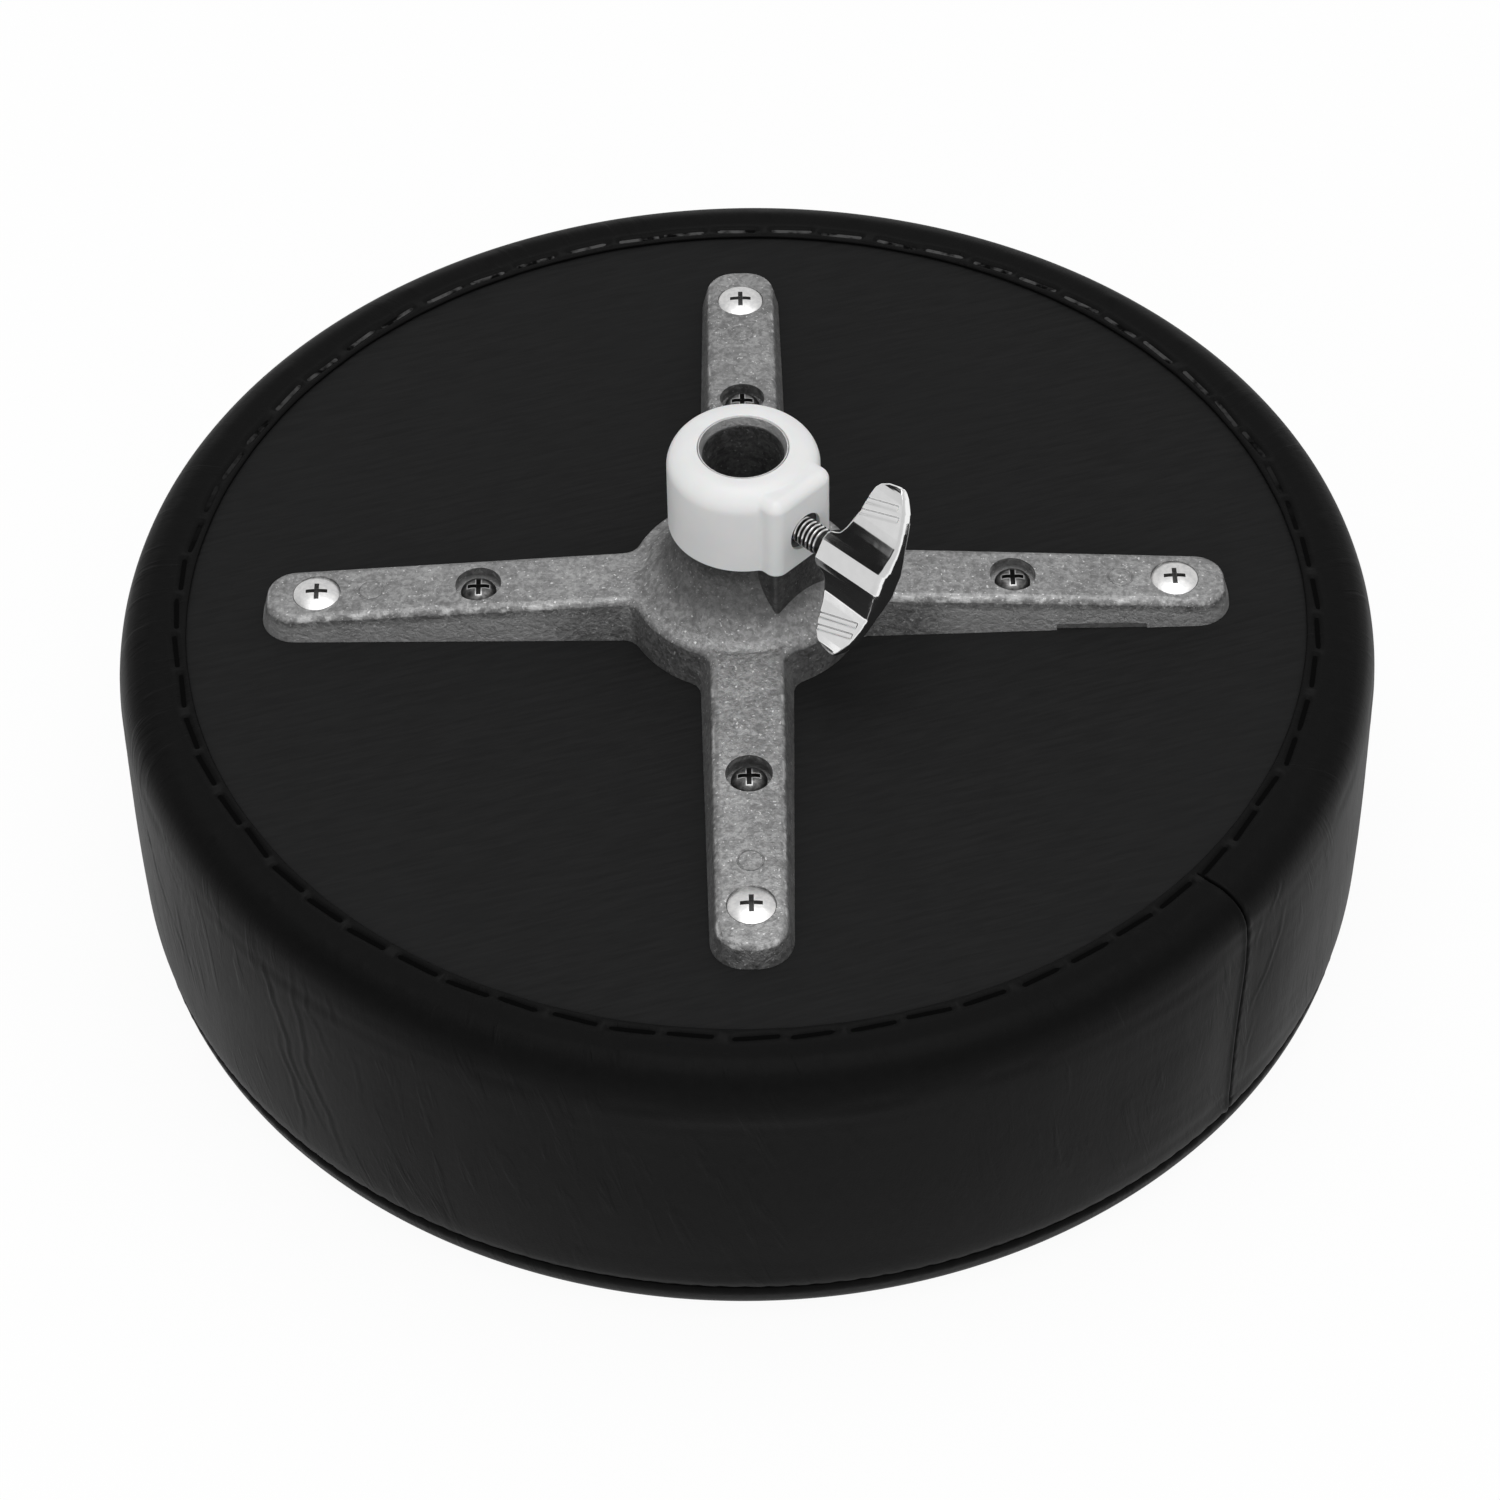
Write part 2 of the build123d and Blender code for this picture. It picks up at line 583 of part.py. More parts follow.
def make_tee_nut():
    """Nut with a barrel in the board and a flange against its foam side, at height 0."""
    bore = outer_screw_radius + screw_grip
    return revolved(Polyline((bore, -tee_flange_thickness), (tee_flange_radius, -tee_flange_thickness),
                             (tee_flange_radius, 0), (tee_barrel_radius, 0),
                             (tee_barrel_radius, tee_barrel_length), (bore, tee_barrel_length), close=True))


# ---------------------------------------------------------------- Write the pieces

pieces = {
    "cover_top_panel": make_cover_top_panel(),
    "cover_side_band": make_cover_side_band(),
    "foam_soft_layer": make_foam_soft_layer(),
    "foam_firm_layer": make_foam_firm_layer(),
    "seat_board": make_seat_board(),
    "staples": make_staples(),
    "spider_bracket": make_spider_bracket(),
    "collar": make_collar(),
    "clamp_shoe": make_clamp_shoe(),
    "wing_bolt_stud": make_wing_bolt_stud(),
    "wing_handle": Pos(0, 0, board_top) * along_bolt(Rot(0, 0, -wing_turn) * make_wing_handle()),
}
screw_rim = board_top + arm_height(outer_screw_circle) - outer_screw_sink
fasteners = {
    "mounting_screw": around_screws(Pos(0, 0, screw_rim) * make_mounting_screw(), outer_screw_circle),
    "tee_nut": around_screws(Pos(0, 0, board_bottom) * make_tee_nut(), outer_screw_circle),
    "wood_screw": around_screws(Pos(0, 0, board_top + counterbore_floor) * make_wood_screw(),
                                inner_screw_circle),
}
for name, copies in fasteners.items():
    for number, shape in enumerate(copies, start=1):
        pieces[f"{name}_{number}"] = shape

os.makedirs("parts", exist_ok=True)
for name, shape in pieces.items():
    export_step(shape, f"parts/{name}.step")
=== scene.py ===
from math import cos, pi, radians, sin, tau

import bpy
import numpy as np
from mathutils import Matrix, Vector
from mathutils.bvhtree import BVHTree


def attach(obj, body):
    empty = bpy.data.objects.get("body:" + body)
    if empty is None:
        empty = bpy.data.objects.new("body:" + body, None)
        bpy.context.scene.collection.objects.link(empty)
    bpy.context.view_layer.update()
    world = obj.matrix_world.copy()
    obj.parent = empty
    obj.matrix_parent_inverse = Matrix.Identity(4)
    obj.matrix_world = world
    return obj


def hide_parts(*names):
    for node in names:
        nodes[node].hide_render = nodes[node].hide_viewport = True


# A round drum throne seat that lies upside down on its sitting face, with its cast mount on top, in
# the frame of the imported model. Meshes are drawn in millimetres, and finishes measure in metres.

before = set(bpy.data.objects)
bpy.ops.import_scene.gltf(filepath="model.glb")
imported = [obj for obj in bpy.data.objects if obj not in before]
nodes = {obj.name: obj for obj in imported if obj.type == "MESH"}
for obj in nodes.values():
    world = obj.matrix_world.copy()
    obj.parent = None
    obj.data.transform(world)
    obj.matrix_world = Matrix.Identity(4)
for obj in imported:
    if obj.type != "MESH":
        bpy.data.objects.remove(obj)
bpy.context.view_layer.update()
scene = bpy.context.scene

MM = 0.001
SEAT_RADIUS = 175.0
SIDE_RADIUS = 174.5            # at which the distance across a crease is measured
GIRTH = tau * SEAT_RADIUS
BOLT_HEIGHT = 141.6            # of the wing bolt's axis, over the sitting face
BOLT_AZIMUTH = radians(-45)
OUTER_SCREW_CIRCLE = 119.1     # from the seat's axis to the screws at the arms' ends
INNER_SCREW_CIRCLE = 74.1


# ---------------------------------------------------------------- Surfaces

def smooth_path(points, spacing):
    """Curve through points, resampled so that its steps are `spacing` long, and its stations.

    Each stretch is the cubic that leaves and arrives along the chords between the neighbours of its
    ends, at a speed equal to its own length. Spacing is a function of position along the curve,
    from 0 to its length.
    """
    p = np.asarray(points, float)
    p = np.vstack([2 * p[0] - p[1], p, 2 * p[-1] - p[-2]])
    length = np.linalg.norm(np.diff(p, axis=0), axis=1)[:, None]
    course = (p[2:] - p[:-2]) / (length[1:] + length[:-1])
    a, b = p[1:-2], p[2:-1]
    leave, arrive = course[:-1] * length[1:-1], course[1:] * length[1:-1]
    t = np.linspace(0, 1, 60, endpoint=False)[:, None, None]
    square = 3 * (b - a) - 2 * leave - arrive
    cube = 2 * (a - b) + leave + arrive
    curve = a + t * leave + t**2 * square + t**3 * cube
    curve = np.vstack([curve.transpose(1, 0, 2).reshape(-1, p.shape[1]), p[-2:-1]])
    run = np.concatenate([[0], np.cumsum(np.linalg.norm(np.diff(curve, axis=0), axis=1))])
    steps = spaced(run[-1], spacing)
    return np.stack([np.interp(steps, run, curve[:, k]) for k in range(p.shape[1])], 1), steps


def straight_path(points, step):
    """Points at about a step along straight runs, with every corner kept."""
    p = np.asarray(points, float)
    runs = []
    for a, b in zip(p[:-1], p[1:]):
        many = max(1, int(np.ceil(np.linalg.norm(b - a) / step)))
        runs.append(a + (b - a) * np.linspace(0, 1, many, endpoint=False)[:, None])
    return np.vstack(runs + [p[-1:]])


def spaced(length, spacing):
    """Stations from 0 to length whose distance apart is about spacing(station): the places where
    the running sum of length over spacing reaches whole numbers."""
    fine = np.linspace(0, length, 20000)
    count = np.concatenate([[0], np.cumsum(np.diff(fine) / spacing(fine[:-1]))])
    return np.interp(np.linspace(0, count[-1], int(round(count[-1])) + 1), count, fine)


def evenly(step):
    """Spacing that is the same all along."""
    return lambda s: np.full_like(s, step)


def grid_mesh(name, grid, across=None, along=None, wrap_rows=False, ends=()):
    """Mesh of the quads between neighbouring points of a grid [row, column, xyz] in millimetres.

    The last column joins the first, and where rows wrap, so does the last row. `ends` names the
    rows, first or last, that a fan closes at their mean point. across and along are the UV
    coordinates of columns and rows. Faces that enclose a negative volume, the sum of their corners'
    triple products, are turned round.
    """
    rows, columns = grid.shape[:2]
    r, c = np.meshgrid(np.arange(rows if wrap_rows else rows - 1), np.arange(columns), indexing="ij")
    r, c = r.ravel(), c.ravel()
    r1, c1 = r + 1, c + 1
    corner_rows, corner_columns = np.stack([r, r, r1, r1], 1), np.stack([c, c1, c1, c], 1)
    points = grid.reshape(-1, 3)
    faces = [corner_rows % rows * columns + corner_columns % columns]
    across = np.arange(columns + 1) / columns if across is None else np.asarray(across, float)
    along = np.arange(rows + 1) / rows if along is None else np.asarray(along, float)
    last = len(along) - 1
    uv = [np.stack([across[corner_columns], along[np.minimum(corner_rows, last)]], 2).reshape(-1, 2)]
    for end in ends:
        row = 0 if end == "first" else rows - 1
        hub = len(points)
        points = np.vstack([points, grid[row].mean(0)])
        c = np.arange(columns)
        fan = np.stack([np.full(columns, hub), row * columns + (c + 1) % columns, row * columns + c], 1)
        faces.append(fan if end == "first" else fan[:, ::-1])
        rim = np.stack([across[c], np.full(columns, along[min(row, last)])], 1)
        uv.append(np.repeat(rim, 3, axis=0))
    volume = sum(np.einsum("ij,ij", points[f[:, 0]], np.cross(points[f[:, 1]], points[f[:, 2]])
                           + np.cross(points[f[:, -2]], points[f[:, -1]])) for f in faces)
    if volume < 0:
        faces = [f[:, ::-1] for f in faces]
        uv = [c.reshape(len(f), -1, 2)[:, ::-1].reshape(-1, 2) for c, f in zip(uv, faces)]
    sizes = np.concatenate([np.full(len(f), f.shape[1]) for f in faces])
    starts = np.concatenate([[0], np.cumsum(sizes)[:-1]])
    mesh = bpy.data.meshes.new(name)
    mesh.vertices.add(len(points))
    mesh.vertices.foreach_set("co", (points * MM).astype(np.float32).ravel())
    mesh.loops.add(int(sizes.sum()))
    mesh.loops.foreach_set("vertex_index", np.concatenate([f.ravel() for f in faces]).astype(np.int32))
    mesh.polygons.add(len(sizes))
    mesh.polygons.foreach_set("loop_start", starts.astype(np.int32))
    mesh.polygons.foreach_set("use_smooth", np.ones(len(sizes), bool))
    mesh.update(calc_edges=True)
    layer = mesh.uv_layers.new(name="metres")
    layer.data.foreach_set("uv", np.vstack(uv).astype(np.float32).ravel())
    mesh.validate()
    return mesh


def add_piece(mesh, finish, body, stands_for):
    """Puts a mesh into the scene as a piece that rides on a body and stands for CAD nodes."""
    piece = bpy.data.objects.new(mesh.name, mesh)
    scene.collection.objects.link(piece)
    mesh.materials.append(finish)
    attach(piece, body)
    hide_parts(*stands_for)


def vertex_places(mesh):
    """Places of a mesh's vertices, in millimetres."""
    co = np.empty(len(mesh.vertices) * 3, np.float32)
    mesh.vertices.foreach_get("co", co)
    return co.reshape(-1, 3).astype(float) / MM


# ---------------------------------------------------------------- Shading

class Tone:
    """One socket of a node tree. Python arithmetic on it adds the Math nodes."""

    def __init__(self, shading, socket):
        self.shading = shading
        self.socket = socket

    def math(self, operation, *values):
        return self.shading.add("ShaderNodeMath", dict(enumerate(values)), operation=operation)

    def __add__(self, other):
        return self.math("ADD", self, other)

    def __sub__(self, other):
        return self.math("SUBTRACT", self, other)

    def __rsub__(self, other):
        return self.math("SUBTRACT", other, self)

    def __mul__(self, other):
        return self.math("MULTIPLY", self, other)

    def __pow__(self, other):
        return self.math("POWER", self, other)

    def __rpow__(self, other):
        return self.math("POWER", other, self)

    __radd__ = __add__
    __rmul__ = __mul__

    def __neg__(self):
        return self.math("MULTIPLY", self, -1.0)

    def __abs__(self):
        return self.math("ABSOLUTE", self)

    def least(self, other):
        return self.math("MINIMUM", self, other)

    def most(self, other):
        return self.math("MAXIMUM", self, other)

    def between(self, low, high, rise="SMOOTHSTEP"):
        """0 below low, 1 above high and a smooth or LINEAR rise between them."""
        return self.shading.add("ShaderNodeMapRange", {0: self, 1: low, 2: high},
                                interpolation_type=rise)

    def within(self, opening, closing):
        """1 between two soft edges and 0 outside them. Each edge is given by its start and end."""
        return self.between(*opening) * (1.0 - self.between(*closing))


class Shading:
    """A node tree under construction."""

    def __init__(self, tree):
        self.tree = tree
        tree.nodes.clear()

    def add(self, kind, feeds=None, output=0, **settings):
        """Adds a node with its settings, then the values or links of its inputs. Gives one of its
        outputs, if it has any."""
        node = self.tree.nodes.new(kind)
        for name, value in settings.items():
            setattr(node, name, value)
        for name, value in (feeds or {}).items():
            self.feed(node.inputs[name], value)
        return Tone(self, node.outputs[output]) if node.outputs else None

    def feed(self, socket, value):
        """Links a tone to a socket, or gives the socket a value."""
        if isinstance(value, Tone):
            self.tree.links.new(value.socket, socket)
        else:
            socket.default_value = value

    def rays(self, *kinds):
        """1 for rays of the given kinds, 0 for the others."""
        path = self.add("ShaderNodeLightPath").socket.node
        seen = [Tone(self, path.outputs[f"Is {kind} Ray"]) for kind in kinds]
        either = seen[0]
        for other in seen[1:]:
            either = either.most(other)
        return either

    def mix(self, factor, first, second):
        """Shader between two shaders."""
        return self.add("ShaderNodeMixShader", {0: factor, 1: first, 2: second})

    def here(self):
        """Object coordinates."""
        return self.add("ShaderNodeTexCoord", output="Object")

    def mapped(self, vector, scale=(1, 1, 1), turn=0.0):
        """A vector scaled, then turned about Z."""
        return self.add("ShaderNodeMapping", {0: vector, 2: (0, 0, turn), 3: scale})

    def parts(self, vector):
        """The three components of a vector."""
        split = self.add("ShaderNodeSeparateXYZ", {0: vector}).socket.node
        return [Tone(self, socket) for socket in split.outputs]

    def noise(self, vector, scale, detail=2.0, roughness=0.5, distortion=0.0):
        return self.add("ShaderNodeTexNoise", {"Vector": vector, "Scale": scale, "Detail": detail,
                                               "Roughness": roughness, "Distortion": distortion})

    def cells(self, vector, scale):
        """Distance to the nearest border between cells."""
        return self.add("ShaderNodeTexVoronoi", {"Vector": vector, "Scale": scale},
                        feature="DISTANCE_TO_EDGE")

    def blend(self, factor, first, second):
        """Colour between two colours."""
        return self.add("ShaderNodeMix", {0: factor, 6: first, 7: second}, output=2, data_type="RGBA")

    def bump(self, height, depth, under=None):
        """Normal of a relief whose height of 1 stands `depth` metres proud."""
        feeds = {"Height": height, "Distance": depth, "Strength": 1.0}
        if under is not None:
            feeds["Normal"] = under
        return self.add("ShaderNodeBump", feeds)


class Finish(Shading):
    """A material under construction, with one Principled shader."""

    def __init__(self, name, **constants):
        self.material = bpy.data.materials.new(name)
        self.material.use_nodes = True
        super().__init__(self.material.node_tree)
        self.shader = self.add("ShaderNodeBsdfPrincipled")
        self.add("ShaderNodeOutputMaterial", {"Surface": self.shader})
        self.paint(**constants)

    def paint(self, **sockets):
        """Feeds the shader's sockets, named with underscores for their spaces."""
        for name, value in sockets.items():
            self.feed(self.shader.socket.node.inputs[name.replace("_", " ")], value)
        return self.material


def grey(level, warm=0.0):
    """A grey of a linear level, a little warmer or cooler."""
    return (level * (1 + warm), level, level * (1 - warm), 1.0)


# ---------------------------------------------------------------- Finishes

def vinyl_finish():
    """Black vinyl: a fine leather grain drawn out along the height of the band, leaning wrinkles in
    patches, painted shade in the grooves at the staples and a painted highlight on the rolls and
    pillows beside them."""
    f = Finish("black_vinyl", Specular_IOR_Level=0.068)
    here = f.add("ShaderNodeUVMap", uv_map="metres")
    creep = f.noise(f.mapped(here, (1.0, 0.33, 1.0), 0.28), 620.0, 4.0, 0.6, 0.6)
    pores = f.cells(here, 1250.0)
    broad = f.noise(here, 26.0, 2.0)
    shade = f.noise(here, 300.0, 3.0)
    leaning = f.mapped(f.mapped(here, turn=radians(15)), (1.0, 0.16, 1.0))
    wrinkle = f.noise(leaning, 170.0, 3.0, 0.55, 0.5).between(0.50, 0.66)
    wrinkle_depth, pore_depth = 0.00022, 0.000012
    fine = f.bump(creep * 0.4 + wrinkle * 0.6 * broad.between(0.42, 0.6), wrinkle_depth)
    grain = f.bump(pores.between(0.0, 0.22), pore_depth, fine)
    marks = f.add("ShaderNodeAttribute", attribute_name="marks", output="Fac")
    tone = f.blend(shade, grey(0.0018), grey(0.0036))
    # Painted highlight on the rolls and pillows beside the staples, then painted shade in the grooves
    # under their crowns.
    tone = f.blend(marks.between(0.08, 0.4) * 0.7, tone, grey(0.009))
    tone = f.blend((-marks).between(0.1, 0.45), tone, grey(0.0002))
    return f.paint(Base_Color=tone, Roughness=0.40 + 0.10 * broad + 0.06 * creep, Normal=grain)


def plywood_finish():
    """Thin matt black paint over plywood, whose grain runs some degrees off the X axis."""
    f = Finish("black_plywood", Specular_IOR_Level=0.06)
    here = f.here()
    along = f.mapped(f.mapped(here, turn=radians(-17)), (9.0, 100.0, 100.0))
    grain = f.noise(along, 7.0, 6.0, 0.70, 0.4).between(0.28, 0.72)
    pores = f.noise(along, 22.0, 2.0, 0.5)
    bloom = f.noise(here, 14.0, 3.0)
    tone = f.blend(grain, grey(0.0090), grey(0.0160))
    tone = f.blend(bloom * 0.5, tone, grey(0.0145, -0.03))
    relief = grain * 0.7 + pores.between(0.3, 0.62) * 0.3
    grain_depth = 0.00005
    return f.paint(Base_Color=tone, Roughness=0.62 + 0.12 * grain, Normal=f.bump(relief, grain_depth))


def casting_finish():
    """Tumbled aluminium: mottled patches and small bright flecks, a painted highlight along the arms'
    top edges broken up by noise, painted light on the sides of the arms along X, faint bright rings in
    the bore, painted shade in the hollow under the collar, a painted highlight on the rim round the
    socket, and the ring that an ejector pin left on each arm."""
    f = Finish("raw_casting", Metallic=1.0)
    here = f.here()
    x, y, z = f.parts(here)
    radius = (x * x + y * y) ** 0.5
    along = abs(x).most(abs(y))
    beside = abs(x).least(abs(y))

    patches = f.noise(here, 330.0, 5.0, 0.68, 0.9)
    speckle = f.noise(here, 800.0, 3.0, 0.6)
    flecks = f.noise(here, 1100.0, 2.0, 0.5).between(0.64, 0.72)
    blotch = f.noise(here, 34.0, 3.0, 0.55, 0.3)

    pin_circle, pin_radius, pin_line = 0.104, 0.0034, 0.0004
    past_pin = along - pin_circle
    from_pin = (past_pin * past_pin + beside * beside) ** 0.5
    ring = 1.0 - abs(from_pin - pin_radius).between(0.0, pin_line)
    # How far a point lies under the arms' top, which slopes down from the hub.
    hub_radius, hub_top, slope = 0.038, 0.1096, 0.0536
    drop = hub_top - (radius - hub_radius) * slope - z
    edge = drop.within((0.0001, 0.0007), (0.0012, 0.0026))
    # A painted highlight along the arms' top edges, broken up by noise.
    edge_highlight = edge * f.noise(here, 210.0, 4.0, 0.6).between(0.47, 0.62) * radius.between(0.032, 0.05)
    # Painted light on the sides of the arms that run along X.
    side = drop.between(0.002, 0.0045) * abs(x).between(0.045, 0.06)
    bore = (1.0 - radius.between(0.0113, 0.0115)) * (1.0 - z.between(0.150, 0.152))
    rings = f.noise(f.mapped(here, (0.01, 0.01, 1.0)), 700.0, 2.0).between(0.4, 0.6)
    # Painted shade in the hollow under the collar.
    neck = radius.within((0.0135, 0.0140), (0.0215, 0.0265)) * z.within((0.1105, 0.1135), (0.150, 0.151))
    # A painted highlight on the rim round the socket.
    socket_rim_highlight = radius.within((0.0108, 0.0112), (0.0132, 0.0136)) * z.between(0.1546, 0.1552)

    tone = f.blend(patches.between(0.36, 0.64), grey(0.23), grey(0.40))
    tone = f.blend(blotch.between(0.4, 0.75) * 0.4, tone, grey(0.54))
    tone = f.blend(speckle.between(0.44, 0.64) * 0.45, tone, grey(0.15))
    # Flecks and the painted edge highlight, then painted light on the sides, painted shade under the
    # collar and the painted highlight on the socket's rim.
    tone = f.blend((flecks * 0.7).most(edge_highlight * 0.65), tone, grey(0.90))
    tone = f.blend(bore * (0.02 + 0.08 * rings), tone, grey(0.95))
    tone = f.blend(side * 0.42, tone, grey(0.92))
    tone = f.blend(neck * 0.6, tone, grey(0.06))
    tone = f.blend(socket_rim_highlight * 0.6, tone, grey(0.85))
    relief_depth = 0.0004
    relief = f.bump(patches * 0.5 + speckle * 0.5 - ring * 0.6, relief_depth)
    return f.paint(Base_Color=tone, Roughness=0.44 + 0.16 * patches - 0.12 * edge_highlight, Normal=relief)


def nylon_finish():
    """White moulded nylon, a little uneven."""
    f = Finish("white_nylon", Subsurface_Weight=0.15, Subsurface_Scale=0.002)
    here = f.here()
    cloud = f.noise(here, 90.0, 3.0)
    fine = f.noise(here, 800.0, 2.0)
    tone = f.blend(cloud, (0.73, 0.735, 0.74, 1), (0.80, 0.80, 0.795, 1))
    relief_depth = 0.00006
    return f.paint(Base_Color=tone, Roughness=0.34 + 0.12 * cloud,
                   Normal=f.bump(cloud * 0.6 + fine * 0.4, relief_depth))


def chrome_finish():
    """Chrome over a polished casting, with the soft unevenness that polishing leaves."""
    f = Finish("chrome", Metallic=1.0)
    here = f.here()
    swell = f.noise(here, 120.0, 2.0)
    haze = f.noise(here, 420.0, 3.0)
    swell_depth = 0.00012
    return f.paint(Base_Color=f.blend(haze, grey(0.84), grey(0.93)), Roughness=0.06 + 0.08 * haze,
                   Normal=f.bump(swell, swell_depth))


def plated_finish(name, dark, light, rough, circle=None):
    """Plated steel: streaks across the head and small dull spots. Heads that stand on the arms, on
    a circle of the given radius, carry painted shade inside their cross recess and a painted highlight
    along its edges."""
    f = Finish(name, Metallic=1.0)
    here = f.here()
    streaks = f.noise(f.mapped(here, (1.0, 7.0, 1.0)), 400.0, 3.0)
    spots = f.noise(here, 700.0, 3.0, 0.6)
    tone = f.blend(spots.between(0.3, 0.7), grey(dark), grey(light, 0.01))
    if circle:
        half_width, half_length = 0.00065, 0.0030
        x, y, _ = f.parts(here)
        out = abs(abs(x).most(abs(y)) - circle * MM)
        beside = abs(x).least(abs(y))
        # Distance outside each of the two slots. The nearer one counts.
        across = (out - half_width).most(beside - half_length)
        along = (beside - half_width).most(out - half_length)
        outside = across.least(along)
        edge_middle = 0.00012
        # A painted highlight along the edges of the recess.
        edge = 1.0 - abs(outside - edge_middle).between(0.00005, 0.00025)
        # Painted shade inside the recess.
        floor = 1.0 - outside.between(-0.0001, 0.0001)
        tone = f.blend(edge * 0.4, tone, grey(0.97))
        tone = f.blend(floor * 0.9, tone, grey(0.03))
    relief_depth = 0.00004
    return f.paint(Base_Color=tone, Roughness=rough + 0.14 * streaks,
                   Normal=f.bump(spots * 0.5 + streaks * 0.5, relief_depth))


def thread_finish():
    """Bright steel thread: polished crests and painted shade in the roots."""
    f = Finish("bright_thread", Metallic=1.0)
    x, y, z = f.parts(f.here())
    level = y * cos(BOLT_AZIMUTH) - x * sin(BOLT_AZIMUTH)
    rise = z - BOLT_HEIGHT * MM
    root_radius, crest_radius = 0.0035, 0.0038
    # 1 on the crests and 0 in the roots, which take painted shade.
    crest = ((level * level + rise * rise) ** 0.5).between(root_radius, crest_radius)
    return f.paint(Base_Color=f.blend(crest, grey(0.03), grey(0.84)), Roughness=0.40 - 0.24 * crest)


def staple_finish():
    """Black coated wire, with a painted highlight towards +Y, broken up by noise."""
    f = Finish("black_wire", Specular_IOR_Level=0.03)
    here = f.here()
    y = f.parts(here)[1]
    # A painted highlight on the staples towards +Y, broken up by noise.
    far_side_highlight = f.noise(here, 260.0, 3.0).between(0.35, 0.6) * y.between(0.02, 0.13)
    scuff_depth = 0.00003
    return f.paint(Base_Color=f.blend(far_side_highlight, grey(0.0006), grey(0.07)), Roughness=0.25 + 0.2 * far_side_highlight,
                   Normal=f.bump(f.noise(here, 900.0, 2.0), scuff_depth))


def foam_finish(name, light, cell):
    """Open-cell foam: painted shade in small pores between pale walls, in a faint cloud."""
    f = Finish(name, Roughness=0.95)
    here = f.here()
    pores = f.cells(here, cell)
    cloud = f.noise(here, 40.0, 3.0)
    pore, shadow = ([share * c for c in light[:3]] + [1] for share in (0.35, 0.8))
    # Painted shade in the pores.
    tone = f.blend(pores.between(0.0, 0.25), pore, light)
    tone = f.blend(cloud * 0.3, tone, shadow)
    pore_depth = 0.0004
    return f.paint(Base_Color=tone, Normal=f.bump(pores, pore_depth))


VINYL = vinyl_finish()
PLYWOOD = plywood_finish()
CASTING = casting_finish()
NYLON = nylon_finish()
CHROME = chrome_finish()
ZINC = plated_finish("zinc_plate", 0.76, 0.92, 0.30, OUTER_SCREW_CIRCLE)
DARK_SCREW = plated_finish("dark_plate", 0.08, 0.20, 0.26, INNER_SCREW_CIRCLE)
THREAD_STEEL = thread_finish()
NUT_STEEL = plated_finish("nut_plate", 0.38, 0.55, 0.36)
SHOE_STEEL = plated_finish("plain_steel", 0.30, 0.45, 0.34)
WIRE = staple_finish()
SOFT_FOAM = foam_finish("soft_foam", (0.62, 0.60, 0.50, 1), 1100.0)
FIRM_FOAM = foam_finish("firm_foam", (0.34, 0.36, 0.40, 1), 700.0)

ARMS = (1, 2, 3, 4)
CAD_FINISHES = {
    "seat_board": PLYWOOD, "spider_bracket": CASTING, "collar": NYLON, "staples": WIRE,
    "clamp_shoe": SHOE_STEEL,
    **{f"mounting_screw_{k}": ZINC for k in ARMS},
    **{f"tee_nut_{k}": NUT_STEEL for k in ARMS},
    **{f"wood_screw_{k}": DARK_SCREW for k in ARMS},
}
for node, finish in CAD_FINISHES.items():
    for place in nodes[node].material_slots:
        place.material = finish


# ---------------------------------------------------------------- Upholstery

# Profiles are pairs of radius and height. The band runs from its cut edge on the board over the
# board's rim and down to the lower seam, its lining back up inside, and the panel from the lower
# seam to the flat of the sitting face.
BAND_PROFILE = ((155.75, 97.7), (155.75, 98.15), (156.1, 98.4), (158.0, 98.4), (161.0, 98.4),
                (164.0, 98.5), (166.2, 98.45), (168.2, 97.9), (170.6, 96.7), (172.8, 94.5),
                (174.3, 90.8), (175.1, 85.0), (175.4, 76.0), (175.5, 64.0), (175.5, 50.0),
                (175.2, 34.0), (174.6, 20.0), (174.1, 15.5), (173.5, 13.4), (172.4, 12.4),
                (170.9, 12.1))
BAND_LINING = ((170.9, 12.1), (171.6, 13.5), (172.4, 17.0), (173.4, 32.0), (173.75, 50.0),
               (173.4, 68.0), (172.9, 80.0), (172.0, 88.6), (170.8, 92.5), (168.4, 95.2),
               (165.9, 96.8), (164.0, 97.25), (158.0, 97.25), (155.75, 97.25), (155.75, 97.7))
PANEL_PROFILE = ((170.9, 11.9), (172.3, 11.6), (172.95, 10.6), (173.0, 9.0), (172.2, 6.2),
                 (170.2, 3.3), (167.2, 1.2), (163.5, 0.15), (160.0, 0.0), (150.0, 0.0), (100.0, 0.0),
                 (50.0, 0.0), (3.0, 0.0))
PANEL_LINING = ((3.0, 1.2), (100.0, 1.2), (158.0, 1.2), (163.0, 1.5), (167.0, 3.0), (169.5, 5.5),
                (171.4, 8.8), (171.0, 10.9), (170.9, 11.9))
LINING_STEP = 6.0
SEAM_HEIGHT = 12.0
SIDE_SEAM = -41.6              # azimuth of the seam that joins the band's two ends, in degrees
STITCH = 6.2
STAPLES = 64

